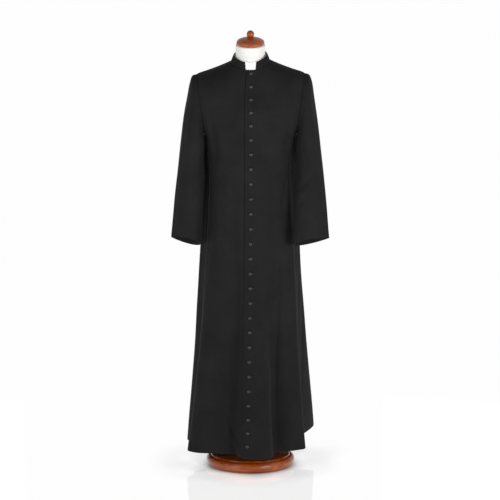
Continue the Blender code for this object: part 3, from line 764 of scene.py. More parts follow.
def spaced(total, count, edge_steps=(0.35, 0.9, 1.7, 2.6, 3.6, 5.2)):
    """Places from 0 to total, count of them even, and more near both ends to draw the rolled edges."""
    middle = np.linspace(edge_steps[-1], total - edge_steps[-1], count)
    ends = np.array(edge_steps[:-1])
    return np.concatenate([[0], ends, middle, total - ends[::-1], [total]])


print("cloth is", CLOTH, "mm thick")

# %% [markdown]
# The left front laps over the right one and carries the buttonholes. The right front runs on under
# the lap, a little deeper, so the lap's edge stands proud and throws a thin line of shade all the
# way down. Both front edges and the hem are free edges. The side, shoulder, armhole and neck edges
# are sewn.

# %% The four panels
LAP_EDGE = ((78, -36), (250, -30), (500, -26), (800, -24), (1160, -21), (1520, -21), (1580, -18), (1614, -14))
BUTTON_LINE = ((78, -13), (300, -7), (500, -4), (700, -1), (950, 1), (1160, 2), (1614, 2))
UNDERLAP_X = 16.0
LAP_EASE = 3.6
LAP_DEPTH = 3.6
NECK_TUCK = 2.0
TUCKED_EDGE = (1.0, 0.3)
SKIRT_HEM = 40.0
CUFF_HEM = 34.0
SKIRT_ROWS = 190
ARMHOLE_ROWS = 44
YOKE_ROWS = 26
YOKE_PASSES = 24
YOKE_FOOT_Z = 1440.0
YOKE_MARGIN = 26.0
FRONT_COLUMNS = 78
BACK_COLUMNS = 70
TABLE_STEPS = 160


def panel_heights():
    """The heights of a panel's rows, closer at the hem, the armhole's ends and the neck."""
    skirt = HEM_Z + spaced(ARMHOLE_FOOT_Z - HEM_Z, SKIRT_ROWS)[:-5]
    turns = np.linspace(0, math.pi, ARMHOLE_ROWS)
    armhole = ARMHOLE_FOOT_Z + (ARMHOLE_TOP_Z - ARMHOLE_FOOT_Z) * (1 - np.cos(turns)) / 2
    yoke = NECK_Z - (NECK_Z - ARMHOLE_TOP_Z) * np.linspace(1, 0, YOKE_ROWS) ** 1.15
    return np.concatenate([skirt, armhole[1:-1], yoke])


def angle_at_x(height, x, side):
    """The angles on the front at which the cloth lies at x, for a panel of one side."""
    low, high = np.full(height.shape, -0.5), np.full(height.shape, 0.5)
    for _ in range(26):
        middle = (low + high) / 2
        past = side * cloth_point(height, middle, side, "front")[..., 0] >= side * x
        high = np.where(past, middle, high)
        low = np.where(past, low, middle)
    return (low + high) / 2


def panel_grid(side, face):
    """A panel's heights and angles, with its columns evenly spaced along the cloth."""
    height = panel_heights()
    first = np.zeros(height.shape)
    if face == "front":
        x = smooth(LAP_EDGE, height)[..., 0] if side > 0 else np.full(height.shape, UNDERLAP_X)
        first = angle_at_x(height, x, side)
    last = edge_angle(height, face)
    share = np.linspace(0, 1, TABLE_STEPS)
    angles = first[:, None] + (last - first)[:, None] * share
    walk = lengths_along(cloth_point(height[:, None], angles, side, face), 1)
    columns = FRONT_COLUMNS if face == "front" else BACK_COLUMNS
    rows = []
    for row, along in enumerate(walk):
        places = spaced(along[-1], columns)
        rows.append(np.interp(places, along, angles[row]))
    return height[:, None], np.array(rows)


def eased_yoke(points, height):
    """The same cloth with the bend between chest and yoke rounded out, away from the panel's edges."""
    rounded = points.copy()
    for _ in range(YOKE_PASSES):
        rounded[1:-1] = (rounded[:-2] + 2 * rounded[1:-1] + rounded[2:]) / 4
    across = lengths_along(points, 1)
    share = ease((height - YOKE_FOOT_Z) / 40) * ease((NECK_Z - 4 - height) / 16)
    share = share * ease((across[:, -1:] - across) / YOKE_MARGIN)
    return points + (rounded - points) * share[..., None]


def worn(height, angle, side, face):
    """The cloth as worn: the cut form with its creases and its slack."""
    points = cloth_point(height, angle, side, face)
    outwards = points * (1, 1, 0)
    normals = grid_normals(points, outwards)
    fade = ease((NECK_Z - height) / 60)
    push = (body_creases(points) + slack(points)) * fade
    return eased_yoke(points, height) + normals * push[..., None], outwards


def panel(name, side, face):
    """One front or back, as a closed wall of cloth."""
    height, angle = panel_grid(side, face)
    points, outwards = worn(height, angle, side, face)
    normals = grid_normals(points, outwards)
    if face == "front" and side < 0:
        lap = np.degrees(angle_at_x(height[:, 0], smooth(LAP_EDGE, height[:, 0])[..., 0], -1))[:, None]
        inset = LAP_DEPTH * (1 - ease((np.degrees(angle) - lap - 0.5) / LAP_EASE))
        points = points - normals * inset[..., None]
    tuck = 1 - NECK_TUCK / np.hypot(points[-1:, :, :1], points[-1:, :, 1:2])
    tucked = points[-1:] * np.concatenate([tuck, tuck, 1 + 0 * tuck], axis=-1) + (0, 0, 0.3)
    points = np.vstack([points, tucked])
    normals = grid_normals(points, np.vstack([outwards, outwards[-1:]]))
    middle_edge = FREE_EDGE if face == "front" else SEWN_EDGE
    edges = {"start": middle_edge, "end": ARMHOLE_EDGE, "foot": FREE_EDGE, "top": TUCKED_EDGE}
    return cloth_wall(name, points, normals, edges, cassock_twill, hem=("foot", SKIRT_HEM))


panels = {}
for side, word in ((1, "left"), (-1, "right")):
    for face in ("front", "back"):
        panels[f"{face}_{word}"] = panel(f"cloth_{face}_{word}", side, face)

# %% [markdown]
# A tailor's sleeve has two pieces: a wide upper one over the arm and a narrow under one against the
# body. These stations give the sleeve's outer and inner edges as seen from the front, how far its
# middle is in front of the shoulder, half its depth, and how far the front of the ring is turned
# up. The wearer's left sleeve hangs further forward than the right one.

# %% Sleeve stations
GAP = 0.3
SLEEVE_SEAM_TURN = 126
LAST_STATION = 9
CUFF_PINCH = 0.5
CUFF_LEAN = 0.25
STATION_COLUMNS = ("outer_x", "outer_z", "inner_x", "inner_z", "forward", "half_depth", "tilt")
SLEEVE_LEFT = (
    (0, 210, 1562, 178, 1325, 0, 78, 0),
    (1, 229, 1557, 178.2, 1316, 2, 80, 1),
    (2, 241, 1528, 177.4, 1303, 5, 81, 2),
    (3, 249, 1474, 176, 1284, 10, 80, 4),
    (4, 260, 1398, 176, 1256, 17, 76, 6),
    (5, 273, 1290, 176, 1205, 35, 68, 10),
    (6, 284, 1188, 173, 1140, 58, 57, 13),
    (7, 294, 1092, 167, 1060, 76, 49, 16),
    (8, 303, 990, 162, 972, 95, 42, 21),
    (9, 308, 933, 160, 904, 104, 38, 27),
)
SLEEVE_RIGHT = (
    (0, 210, 1562, 178, 1325, 0, 78, 0),
    (1, 226, 1557, 178.2, 1316, 2, 80, 1),
    (2, 237, 1528, 177.4, 1303, 4, 81, 2),
    (3, 248, 1470, 176, 1284, 7, 80, 3),
    (4, 261, 1392, 178, 1256, 11, 77, 5),
    (5, 274, 1285, 181, 1205, 17, 71, 8),
    (6, 285, 1180, 181, 1138, 24, 65, 11),
    (7, 295, 1083, 184, 1052, 31, 59, 15),
    (8, 304, 985, 189, 958, 38, 55, 20),
    (9, 309, 922, 192, 893, 43, 53, 25),
)


def sleeve_point(table, station, turn, side):
    """Points of a sleeve's outer surface; turn is 0 at the outer edge and 90 degrees in front."""
    columns = smooth(table, station)
    row = {name: columns[..., i] for i, name in enumerate(STATION_COLUMNS)}
    forward = -row["forward"]
    outer = np.stack([row["outer_x"] + GAP, forward, row["outer_z"]], axis=-1)
    inner = np.stack([row["inner_x"] + GAP, forward, row["inner_z"]], axis=-1)
    tilt = np.radians(row["tilt"])
    up_front = np.stack([np.zeros_like(tilt), -np.cos(tilt), np.sin(tilt)], axis=-1)
    flat = (station / LAST_STATION) ** 2
    across = (np.cos(turn) - CUFF_LEAN * flat * np.sin(turn) ** 2)[..., None]
    deep = (row["half_depth"] * signed_power(np.sin(turn), 1 + CUFF_PINCH * flat))[..., None]
    points = (outer + inner) / 2 + (outer - inner) / 2 * across + up_front * deep
    return points * (side, 1, 1)


print("sleeve stations:", len(SLEEVE_LEFT), "on each side")

# %% [markdown]
# A hanging sleeve shows where the arm bends: soft pulls fan out from the inside of the elbow, and
# one long roll runs down its front. A row gives half the width and the height of a crease, and its
# path as turns round the sleeve in degrees and lengths down it in millimetres.

# %% Creases of the sleeves
SLEEVE_CREASES = {
    1: (
        (8, -2.6, ((118, 60), (104, 150), (96, 260))),
        (9, 2.2, ((84, 90), (78, 230), (80, 400), (88, 560))),
        (8, -2.4, ((136, 210), (112, 262), (80, 300), (52, 322))),
        (7, -2.2, ((140, 262), (118, 318), (92, 350), (66, 360))),
        (7, 1.8, ((138, 236), (114, 290), (86, 326))),
        (9, -2.2, ((40, 40), (30, 130), (34, 240), (28, 340))),
        (8, -2.0, ((60, 330), (50, 420), (54, 520), (50, 640))),
        (8, -1.8, ((106, 430), (112, 520), (110, 640))),
        (8, 1.6, ((-30, 60), (-24, 190), (-30, 330), (-22, 470))),
        (9, -2.6, ((-70, 70), (-64, 190), (-70, 300))),
        (8, -2.4, ((-128, 250), (-104, 290), (-70, 306), (-40, 300))),
        (7, -2.0, ((-132, 316), (-100, 348), (-66, 356))),
        (8, -1.6, ((-60, 400), (-66, 500), (-58, 640))),
    ),
    -1: (
        (8, -2.6, ((116, 70), (106, 170), (100, 280))),
        (8, 2.0, ((70, 300), (72, 420), (66, 540), (64, 640))),
        (8, -2.2, ((138, 240), (110, 280), (82, 296), (60, 330))),
        (7, -2.0, ((138, 300), (114, 338), (86, 360))),
        (9, -2.0, ((44, 60), (38, 170), (44, 300), (40, 430))),
        (8, -1.8, ((96, 420), (100, 540), (96, 640))),
        (8, -1.6, ((22, 380), (26, 480), (22, 620))),
        (8, 1.6, ((-28, 70), (-32, 200), (-26, 350))),
        (9, -2.4, ((-66, 60), (-72, 180), (-64, 320))),
        (8, -2.2, ((-130, 236), (-100, 276), (-64, 290))),
        (7, -2.0, ((-126, 306), (-96, 340), (-60, 352), (-34, 340))),
        (8, -1.6, ((-62, 410), (-58, 520), (-64, 640))),
    ),
}
SLEEVE_ROUND = 1.05
SLEEVE_ROWS = 96
UPPER_COLUMNS = 52
UNDER_COLUMNS = 26


def sleeve_grid(table, side, turns, columns):
    """A sleeve piece's grid of points and the directions away from the sleeve's middle."""
    stations = np.linspace(0, 9, TABLE_STEPS)
    middle = sleeve_point(table, stations[:, None], np.array([[math.pi / 2]]), side)
    walk = lengths_along(middle, 0)[:, 0]
    station = np.interp(spaced(walk[-1], SLEEVE_ROWS), walk, stations)[:, None]
    places = spaced(1.0, columns, (0.0012, 0.003, 0.006, 0.01, 0.015, 0.024))
    turn = np.radians(turns[0] + (turns[1] - turns[0]) * places)[None, :]
    points = sleeve_point(table, station, turn, side)
    centre = sleeve_point(table, station, np.array([[0.0]]), side) / 2
    centre = centre + sleeve_point(table, station, np.array([[math.pi]]), side) / 2
    outwards = points - centre
    normals = grid_normals(points, outwards)
    down = lengths_along(points, 0)
    degrees = np.degrees(turn) + 0 * down
    push = crease_push(degrees * SLEEVE_ROUND, down, scaled_paths(SLEEVE_CREASES[side]))
    push += crease_push((degrees - 360) * SLEEVE_ROUND, down, scaled_paths(SLEEVE_CREASES[side]))
    push += slack(points * (1, 1, 1.3)) * ease(down / 30)
    return points + normals * push[..., None], outwards


def scaled_paths(rows):
    """Sleeve creases with their turns as lengths round the sleeve, in millimetres."""
    return [(width, out, [(turn * SLEEVE_ROUND, down) for turn, down in path]) for width, out, path in rows]


def sleeve_piece(name, side, turns, columns):
    table = SLEEVE_LEFT if side > 0 else SLEEVE_RIGHT
    points, outwards = sleeve_grid(table, side, turns, columns)
    edges = {"start": SEWN_EDGE, "end": SEWN_EDGE, "foot": ARMHOLE_EDGE, "top": FREE_EDGE}
    normals = grid_normals(points, outwards)
    return cloth_wall(name, points, normals, edges, cassock_twill, hem=("top", CUFF_HEM))


seam = SLEEVE_SEAM_TURN
for side, word in ((1, "left"), (-1, "right")):
    for part, turns, columns in (
        ("upper", (-seam, seam), UPPER_COLUMNS),
        ("under", (seam, 360 - seam), UNDER_COLUMNS),
    ):
        node = f"sleeve_{word}_{part}"
        panels[node] = sleeve_piece(f"cloth_{node}", side, turns, columns)

# %% [markdown]
# The standing collar is one band, open at the front in a square notch. The white band inside it
# fills the notch. It stands a little above the black one in front, and just below it elsewhere.
# Both are rings that open a little towards their foot, and they dip at the front as the neck does.

# %% Collar and white band
COLLAR_FOOT = {
    "front": 77.0, "side": 77.0, "back": 75.0, "front_z": 1600.5, "side_z": 1614.6, "back_z": 1620.6,
}
COLLAR_TOP = {
    "front": 69.0, "side": 65.5, "back": 64.0, "front_z": 1628.0, "side_z": 1645.0, "back_z": 1653.5,
}
COLLAR_CLOTH = 2.0
BAND_INSET = 2.6
BAND_CLOTH = 1.0
BAND_RISE = 1.04
BAND_RISE_BEHIND = 0.94
NOTCH_MIDDLE_X = 1.0
NOTCH_FOOT_HALF = 19.5
NOTCH_TOP_HALF = 22.5
COLLAR_EDGE = (1.1, 0.9)
BAND_EDGE = (0.5, 0.45)


def collar_point(angle, rise, inside):
    """Points of the collar band, from its foot at rise 0 to its top at rise 1."""
    front = np.clip(np.cos(angle), 0, None) ** 2
    back = np.clip(-np.cos(angle), 0, None) ** 2
    side = np.sin(angle) ** 2

    def part(name):
        return COLLAR_FOOT[name] + (COLLAR_TOP[name] - COLLAR_FOOT[name]) * rise

    radius = front * part("front") + side * part("side") + back * part("back") - inside
    z = front * part("front_z") + side * part("side_z") + back * part("back_z")
    return np.stack([radius * np.sin(angle), -radius * np.cos(angle), z], axis=-1)


def collar_wall():
    """The black band, from one side of the notch round the back to the other."""
    rise = spaced(1.0, 12, (0.012, 0.03, 0.055, 0.09, 0.13))[:, None]
    half = NOTCH_FOOT_HALF + (NOTCH_TOP_HALF - NOTCH_FOOT_HALF) * rise
    radius = -collar_point(0.0 * rise, rise, 0)[..., 1]
    first = np.arcsin((NOTCH_MIDDLE_X + half) / radius)
    last = 2 * math.pi + np.arcsin((NOTCH_MIDDLE_X - half) / radius)
    places = spaced(1.0, 150, (0.0008, 0.002, 0.004, 0.006, 0.009))[None, :]
    angle = first + (last - first) * places
    points = collar_point(angle, rise, 0)
    outwards = points * (1, 1, 0)
    normals = grid_normals(points, outwards)
    swell = 0.5 * np.sin(math.pi * rise)
    points = points + normals * swell[..., None]
    edges = {"start": COLLAR_EDGE, "end": COLLAR_EDGE, "foot": TUCKED_EDGE, "top": COLLAR_EDGE}
    return cloth_wall("cloth_collar", points, normals, edges, cassock_twill, COLLAR_CLOTH)


panels["collar"] = collar_wall()


def white_band():
    """The white band, a closed ring of starched linen."""
    angle = np.linspace(-math.pi, math.pi, 181)[None, :]
    highest = BAND_RISE_BEHIND + (BAND_RISE - BAND_RISE_BEHIND) * np.clip(np.cos(angle), 0, None) ** 3
    rise = spaced(1.0, 10, (0.01, 0.02, 0.035, 0.05, 0.08))[:, None] * (highest - 0.02) + 0.02
    points = collar_point(angle, rise, BAND_INSET)
    normals = grid_normals(points, points * (1, 1, 0))
    edges = {"foot": BAND_EDGE, "top": BAND_EDGE}
    return cloth_wall("linen_band", points, normals, edges, starched_linen, BAND_CLOTH)


panels["collar_insert"] = white_band()

# %% [markdown]
# Under the cloth stands the form: a hard torso under an off-white cotton cover, with a straight
# neck. The torso follows the cloth's own rings a little further in, so the cassock hangs on its
# shoulders and clears it below. Only the neck shows, and it is turned round, so it gets many sides.

# %% The form's torso and neck
SOLID_CLOTH = 1.8
LAP_ROOM = 3.2
TORSO_FOOT_Z = 850.0
TORSO_FOOT = ((0.0, TORSO_FOOT_Z), (0.5, TORSO_FOOT_Z), (0.82, TORSO_FOOT_Z), (0.94, TORSO_FOOT_Z + 2))
TORSO_HEIGHTS = (858, 900, 960, 1060, 1160, 1250, 1325, 1385, 1443, 1500, 1540, 1562, 1573, 1587, 1601, 1614)
TORSO_COLUMNS = 120
NECK_RINGS = (
    (0, 1615.5, 1602.5, 1621.5, 69, 0),
    (1, 1628, 1618, 1633, 61.5, 4.6),
    (2, 1640, 1634, 1645, 57.8, 4.6),
    (3, 1656, 1654, 1658, 57.3, 0.8),
    (4, 1683, 1683, 1683, 57.3, 0),
)
NECK_STEPS = 24


def torso_rings():
    """The torso's rings of points, from its foot to its neck."""
    turns = (360 * np.arange(TORSO_COLUMNS) / TORSO_COLUMNS + 180) % 360 - 180
    ring = np.zeros((len(TORSO_HEIGHTS), TORSO_COLUMNS, 3))
    heights = np.array(TORSO_HEIGHTS, float)[:, None]
    depth = SOLID_CLOTH + ring_at(heights)["inset"]
    for side in (-1, 1):
        for face in ("front", "back"):
            here = ((turns < 0) == (side < 0)) & ((np.abs(turns) <= 90) == (face == "front"))
            angle = np.radians(np.abs(turns[here]) if face == "front" else 180 - np.abs(turns[here]))[None, :]
            points = body_point(heights, angle, side, face)
            ahead, behind = (body_point(heights, angle + step, side, face) for step in (0.004, -0.004))
            across = ahead - behind
            high = body_point(np.minimum(heights + 1.5, NECK_Z), angle, side, face)
            low = body_point(np.maximum(heights - 1.5, HEM_Z), angle, side, face)
            normals = unit(np.cross(across, high - low))
            flip = (normals * points * (1, 1, 0)).sum(-1, keepdims=True) < 0
            normals = np.where(flip, -normals, normals)
            room = LAP_ROOM * np.cos(angle) ** 4 if face == "front" else 0 * angle
            ring[:, here] = points - normals * (depth + room)[..., None]
    return ring


def form_torso():
    body = torso_rings()
    rings = [body[0] * (share, share, 0) + (0, 0, z) for share, z in TORSO_FOOT]
    rings += list(body)
    turn = 2 * math.pi * np.arange(TORSO_COLUMNS) / TORSO_COLUMNS
    neck = smooth(NECK_RINGS, np.linspace(0, NECK_RINGS[-1][0], NECK_STEPS))
    for side_z, front_z, back_z, round_radius, front_fill in neck:
        radius = round_radius + front_fill * np.clip(np.cos(turn), 0, None) ** 2
        face_z = np.where(np.cos(turn) >= 0, front_z, back_z)
        z = side_z - (side_z - face_z) * np.cos(turn) ** 2
        rings.append(np.stack([radius * np.sin(turn), -radius * np.cos(turn), z], axis=-1))
    rings.append(rings[-1] * (0, 0, 1))
    points = lean(np.array(rings))
    number = np.arange(points[..., 0].size).reshape(points.shape[:2])
    quads = grid_quads(np.hstack([number, number[:, :1]]))
    walk = lengths_along(points, 1)
    climb = lengths_along(points, 0)
    uv = np.stack([walk, climb], axis=-1).reshape(-1, 2) * MM
    made = mesh_object("form_torso_cover", points.reshape(-1, 3) * MM, quads.tolist(), form_cotton, uv)
    work = bmesh.new()
    work.from_mesh(made.data)
    bmesh.ops.remove_doubles(work, verts=work.verts, dist=0.02 * MM)
    bmesh.ops.recalc_face_normals(work, faces=work.faces)
    work.to_mesh(made.data)
    work.free()
    return made


torso = form_torso()
panels["form_torso"] = torso
print("torso:", len(torso.data.polygons), "faces")

# %% [markdown]
# The base, the neck cap and its ball are turned on a lathe. Each is a profile of radii and heights,
# spun round the upright axis by a Screw modifier. Arcs draw the rounded band of the base and the
# ball. The base's flat top ends in a fine turned bead, which catches the light in the photo.

# %% Turned pieces
BASE_TOP_Z = 46.6
CAP_SEAT_Z = 1683.3
FINIAL_SEAT_Z = 1715.5
BALL_RADIUS = 15.2
BALL_FOOT_RADIUS = 11.0
POLE_RADIUS = 17.0


def arc(centre, radii, start, end, count):
    """Points of an arc in a profile, by angles from straight out, in degrees."""
    turns = np.radians(np.linspace(start, end, count + 1))
    return [(centre[0] + radii[0] * math.cos(t), centre[1] + radii[1] * math.sin(t)) for t in turns]


def turned(name, profile, steps, material):
    """A turned piece from (radius, height) points that run from its top to its foot."""
    mesh = bpy.data.meshes.new(name)
    points = [(radius * MM, 0, z * MM) for radius, z in profile]
    mesh.from_pydata(points, [(i, i + 1) for i in range(len(points) - 1)], [])
    spun = bpy.data.objects.new(name, mesh)
    bpy.context.scene.collection.objects.link(spun)
    screw = spun.modifiers.new("turn", "SCREW")
    screw.steps = screw.render_steps = steps
    screw.use_merge_vertices = True
    screw.merge_threshold = 0.00001
    made = bpy.data.meshes.new_from_object(spun.evaluated_get(bpy.context.evaluated_depsgraph_get()))
    bpy.data.objects.remove(spun)
    made.name = name
    made.materials.clear()
    made.materials.append(material)
    made.shade_smooth()
    made.set_sharp_from_angle(angle=math.radians(50))
    piece = bpy.data.objects.new(name, made)
    bpy.context.scene.collection.objects.link(piece)
    return piece


base_profile = [(0, BASE_TOP_Z), (141, BASE_TOP_Z), (142.2, BASE_TOP_Z - 0.4), (143.4, BASE_TOP_Z - 0.4)]
base_profile += [(145.5, BASE_TOP_Z), (149.2, BASE_TOP_Z - 0.3)]
base_profile += [(151.6, BASE_TOP_Z - 1.8), (152.6, BASE_TOP_Z - 3.6)]
base_profile += arc((156, 22), (16, 18.5), 97, -64, 22)
base_profile += [(162.4, 2.2), (160.4, 0.5), (158.6, 0), (0, 0)]
wood_base = turned("turned_base", base_profile, 160, beech)
wood_pole = turned(
    "turned_pole",
    [(0, TORSO_FOOT_Z - GAP), (POLE_RADIUS, TORSO_FOOT_Z - GAP),
     (POLE_RADIUS, BASE_TOP_Z + GAP), (0, BASE_TOP_Z + GAP)],
    48, beech,
)
cap_profile = [(0, FINIAL_SEAT_Z - GAP), (12.2, FINIAL_SEAT_Z - GAP), (13.4, 1714.6), (14.6, 1713.9)]
cap_profile += [tuple(p) for p in zip(
    np.linspace(15.6, 54.0, 22),
    1692.6 + 21.2 * np.sqrt(1 - (np.linspace(15.6, 54.0, 22) / 57.5) ** 2) ** 1.15,
)]
cap_profile += arc((52.2, 1691.0), (3.4, 3.6), 20, -60, 6) + [(51.6, 1686.6), (50, 1684.9), (47.5, 1684.2)]
cap_profile += [(45.6, 1683.6), (45, CAP_SEAT_Z), (0, CAP_SEAT_Z)]
wood_cap = turned("turned_cap", cap_profile, 96, beech)
ball_low = -math.degrees(math.acos(BALL_FOOT_RADIUS / BALL_RADIUS))
ball_z = FINIAL_SEAT_Z + math.sqrt(BALL_RADIUS**2 - BALL_FOOT_RADIUS**2)
ball_profile = arc((0, ball_z), (BALL_RADIUS, BALL_RADIUS), 90, ball_low, 24)
ball_profile[0] = (0, ball_profile[0][1])
wood_ball = turned("turned_ball", [*ball_profile, (0, FINIAL_SEAT_Z)], 64, beech)
panels.update({"form_base": wood_base, "form_pole": wood_pole, "neck_cap": wood_cap, "finial": wood_ball})
print("turned pieces:", [piece.name for piece in (wood_base, wood_pole, wood_cap, wood_ball)])

# %% [markdown]
# What repeats is grown by Geometry Nodes: the 27 buttons, the stitches round their buttonholes, and
# the small slanting stitches that hold the turned-up hems. A tree takes a few places, each with the
# direction that its cloth faces, and puts a copy of one shape on each, a little uneven in size from a
# fixed seed. Places along a seam are first spread evenly at the stitch's pitch.

# %% Trees for what repeats
SEED = 7


def repeat_tree(name, along_rows):
    """A node tree that puts copies of one shape on points, or along rows of edges at a pitch."""
    tree = bpy.data.node_groups.new(name, "GeometryNodeTree")
    face = tree.interface
    face.new_socket("Geometry", in_out="INPUT", socket_type="NodeSocketGeometry")
    for socket, kind in (("Shape", "Object"), ("Pitch", "Float"), ("Slant", "Float"), ("Seed", "Int"),
                         ("Finish", "Material")):
        face.new_socket(socket, in_out="INPUT", socket_type="NodeSocket" + kind)
    face.new_socket("Geometry", in_out="OUTPUT", socket_type="NodeSocketGeometry")
    given = add_node(tree, "NodeGroupInput").outputs
    places, heading = given["Geometry"], (1, 0, 0)
    if along_rows:
        rows = add_node(tree, "GeometryNodeMeshToCurve", inputs={"Mesh": places}).outputs["Curve"]
        places = add_node(
            tree, "GeometryNodeResampleCurve", {"mode": "LENGTH"}, {"Curve": rows, "Length": given["Pitch"]}
        ).outputs["Curve"]
        heading = add_node(tree, "GeometryNodeInputTangent").outputs["Tangent"]
    facing = add_node(
        tree, "GeometryNodeInputNamedAttribute", {"data_type": "FLOAT_VECTOR"}, {"Name": "facing"}
    ).outputs["Attribute"]
    upright = add_node(
        tree, "FunctionNodeAlignRotationToVector", {"axis": "Z"}, {"Vector": facing}
    ).outputs["Rotation"]
    turned_to = add_node(
        tree, "FunctionNodeAlignRotationToVector", {"axis": "X", "pivot_axis": "Z"},
        {"Rotation": upright, "Vector": heading},
    ).outputs["Rotation"]
    slant = add_node(
        tree, "FunctionNodeAxisAngleToRotation", inputs={"Axis": (0, 0, 1), "Angle": given["Slant"]}
    ).outputs["Rotation"]
    slanted = add_node(
        tree, "FunctionNodeRotateRotation", {"rotation_space": "LOCAL"},
        {"Rotation": turned_to, "Rotate By": slant},
    ).outputs["Rotation"]
    uneven = add_node(
        tree, "FunctionNodeRandomValue", {"data_type": "FLOAT_VECTOR"},
        {"Min": (0.94, 0.94, 0.94), "Max": (1.06, 1.06, 1.06), "Seed": given["Seed"]},
    ).outputs["Value"]
    shape = add_node(tree, "GeometryNodeObjectInfo", inputs={"Object": given["Shape"]}).outputs["Geometry"]
    copies = add_node(
        tree, "GeometryNodeInstanceOnPoints",
        inputs={"Points": places, "Instance": shape, "Rotation": slanted, "Scale": uneven},
    ).outputs["Instances"]
    real = add_node(tree, "GeometryNodeRealizeInstances", inputs={"Geometry": copies}).outputs["Geometry"]
    finished = add_node(
        tree, "GeometryNodeSetMaterial", inputs={"Geometry": real, "Material": given["Finish"]}
    ).outputs["Geometry"]
    add_node(tree, "NodeGroupOutput", inputs={"Geometry": finished})
    return tree


def grown(name, tree, places, edges, facing, shape, finish, pitch=1.0, slant=0.0):
    """A plain mesh object from a tree, at places in metres with their facing directions."""
    mesh = bpy.data.meshes.new(name)
    mesh.from_pydata(places, edges, [])
    layer = mesh.attributes.new("facing", "FLOAT_VECTOR", "POINT")
    layer.data.foreach_set("vector", np.array(facing, np.float32).ravel())
    holder = bpy.data.objects.new(name, mesh)
    bpy.context.scene.collection.objects.link(holder)
    modifier = holder.modifiers.new("repeat", "NODES")
    modifier.node_group = tree
    values = {"Shape": shape, "Pitch": pitch, "Slant": slant, "Seed": SEED, "Finish": finish}
    for socket in tree.interface.items_tree:
        if socket.in_out == "INPUT" and socket.name in values:
            modifier[socket.identifier] = values[socket.name]
    holder.update_tag()
    made = bpy.data.meshes.new_from_object(holder.evaluated_get(bpy.context.evaluated_depsgraph_get()))
    bpy.data.objects.remove(holder)
    made.name = name
    made.materials.clear()
    made.materials.append(finish)
    piece = bpy.data.objects.new(name, made)
    bpy.context.scene.collection.objects.link(piece)
    made.calc_loop_triangles()
    print(name, "has", len(made.loop_triangles), "triangles")
    return piece


on_points = repeat_tree("copies on points", False)
on_rows = repeat_tree("stitches along rows", True)

# %% [markdown]
# A covered button is a small dome with the twill pulled tight over it, so it is a little glossier
# than the cloth round it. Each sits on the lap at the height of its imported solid. Its buttonhole runs
# from under it towards the wearer's left, and is worked in black silk twist: close stitches lie
# across the edge of the slit and fan round both of its ends.

# %% Buttons and buttonholes
BUTTON_HEIGHTS = ((1, 1588), (5, 1388), (9, 1152), (14, 856), (20, 511), (25, 230), (27, 127))
BUTTON_COUNT = 27
BUTTON_SEAT = 0.3
HOLE_LENGTH = 17.0
HOLE_START = -2.0
HOLE_HALF = 1.15
STITCH_PITCH = 0.62
STITCH_SIZE = (0.27, 0.95, 0.3)
ROUND_END = 6

silk_twist, silk_tree = new_material("silk buttonhole twist")
silk_place = add_node(silk_tree, "ShaderNodeTexCoord").outputs["Object"]
silk_ply = add_node(
    silk_tree, "ShaderNodeTexNoise", inputs={"Vector": silk_place, "Scale": 2600.0, "Detail": 2.0}
).outputs["Fac"]
silk_colour = add_node(
    silk_tree, "ShaderNodeMix", {"data_type": "RGBA"},
    {0: silk_ply, 6: linear("#0E0E0E"), 7: linear("#242424")},
).outputs[2]
silk_relief = add_node(
    silk_tree, "ShaderNodeBump", inputs={"Height": silk_ply, "Strength": 0.4, "Distance": 0.05 * MM}
).outputs["Normal"]
finish_material(silk_tree, add_node(
    silk_tree, "ShaderNodeBsdfPrincipled",
    inputs={"Base Color": silk_colour, "Roughness": 0.45, "Normal": silk_relief, "Specular IOR Level": 0.4},
))

lap_mesh = panels["front_left"].data
lap_tree = BVHTree.FromPolygons([v.co for v in lap_mesh.vertices], [p.vertices for p in lap_mesh.polygons])


def on_lap(x, z):
    """The point and the normal of the lap's outside at x and z, in millimetres and metres."""
    point, normal, _, _ = lap_tree.ray_cast(Vector((x * MM, -1, z * MM)), Vector((0, 1, 0)))
    return point, normal


button_profile = [(7 * math.sin(t), 2.1 + 3.5 * math.cos(t)) for t in np.linspace(0, math.pi / 2, 12)]
button_profile += [(7.0, 1.7), (6.9, 1.2), (6.6, 0.7), (6.1, 0.35), (5.4, 0.15), (0, 0.1)]
button_profile[0] = (0, button_profile[0][1])
button_shape = turned("covered_button", button_profile, 36, button_twill)
button_uv = button_shape.data.uv_layers.new(name="grain")
for loop in button_shape.data.loops:
    button_uv.data[loop.index].uv = button_shape.data.vertices[loop.vertex_index].co.xy

heights = smooth(BUTTON_HEIGHTS, np.arange(1, BUTTON_COUNT + 1))[..., 0]
seats = [on_lap(float(smooth(BUTTON_LINE, z)[0]), z) for z in heights]
buttons = grown(
    "covered_buttons", on_points, [point + normal * BUTTON_SEAT * MM for point, normal in seats], [],
    [normal for _, normal in seats], button_shape, button_twill,
)


def stitch_like(name, size):
    """One raised stitch, a long round grain that lies along Y, from its half sizes in millimetres."""
    mesh = bpy.data.meshes.new(name)
    work = bmesh.new()
    bmesh.ops.create_uvsphere(work, u_segments=6, v_segments=5, radius=MM)
    for vertex in work.verts:
        x, y, z = vertex.co
        vertex.co = (x * size[0], z * size[1], y * size[2])
    bmesh.ops.recalc_face_normals(work, faces=work.faces)
    work.to_mesh(mesh)
    work.free()
    mesh.shade_smooth()
    shape = bpy.data.objects.new(name, mesh)
    bpy.context.scene.collection.objects.link(shape)
    return shape


stitch_shape = stitch_like("stitch", STITCH_SIZE)

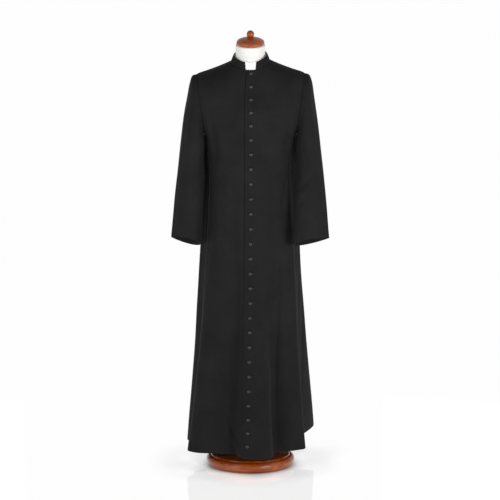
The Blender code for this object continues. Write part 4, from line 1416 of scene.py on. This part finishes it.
hole_outline = []
for centre, start in ((HOLE_LENGTH - HOLE_HALF, -math.pi / 2), (HOLE_HALF, math.pi / 2)):
    for turn in np.linspace(start, start + math.pi, ROUND_END):
        hole_outline.append((centre + HOLE_HALF * math.cos(turn), HOLE_HALF * math.sin(turn)))
hole_points, hole_edges, hole_facing = [], [], []
for z in heights:
    x = float(smooth(BUTTON_LINE, z)[0]) + HOLE_START
    first = len(hole_points)
    for across, up in hole_outline:
        point, normal = on_lap(x + across, z + up)
        hole_points.append(point + normal * 0.05 * MM)
        hole_facing.append(normal)
    count = len(hole_outline)
    hole_edges += [(first + i, first + (i + 1) % count) for i in range(count)]
buttonholes = grown(
    "buttonhole_stitches", on_rows, hole_points, hole_edges, hole_facing, stitch_shape, silk_twist,
    pitch=STITCH_PITCH * MM,
)

# %% [markdown]
# The skirt and the cuffs are turned up inside and felled by hand. The stitches lie aslant over the
# raw edge of each turned-up hem, where only someone who looks up inside the garment sees them.

# %% Hem stitches
HEM_PITCH = 6.0
HEM_STITCH_SIZE = (0.28, 2.3, 0.28)
HEM_SLANT = math.radians(35)

hem_points, hem_edges, hem_facing = [], [], []
for row_points, row_facing in hem_rows:
    first = len(hem_points)
    hem_points += [Vector(point) for point in row_points]
    hem_facing += [tuple(facing) for facing in row_facing]
    hem_edges += [(first + i, first + i + 1) for i in range(len(row_points) - 1)]
hem_shape = stitch_like("hem_stitch", HEM_STITCH_SIZE)
hem_stitches = grown(
    "hem_stitches", on_rows, hem_points, hem_edges, hem_facing, hem_shape, silk_twist,
    pitch=HEM_PITCH * MM, slant=HEM_SLANT,
)

# %% [markdown]
# Before the scene ends, every piece is hung on the body that it rides on, and the imported solid that
# it stands for is hidden.

# %% Tell the frame about each piece
for node, piece in panels.items():
    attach(piece, BODY)
    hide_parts(node)
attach(buttons, BODY)
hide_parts(*[f"button_{number:02d}" for number in range(1, BUTTON_COUNT + 1)])
for stitching in (buttonholes, hem_stitches):
    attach(stitching, BODY)
for shape in (button_shape, stitch_shape, hem_shape):
    bpy.data.objects.remove(shape)
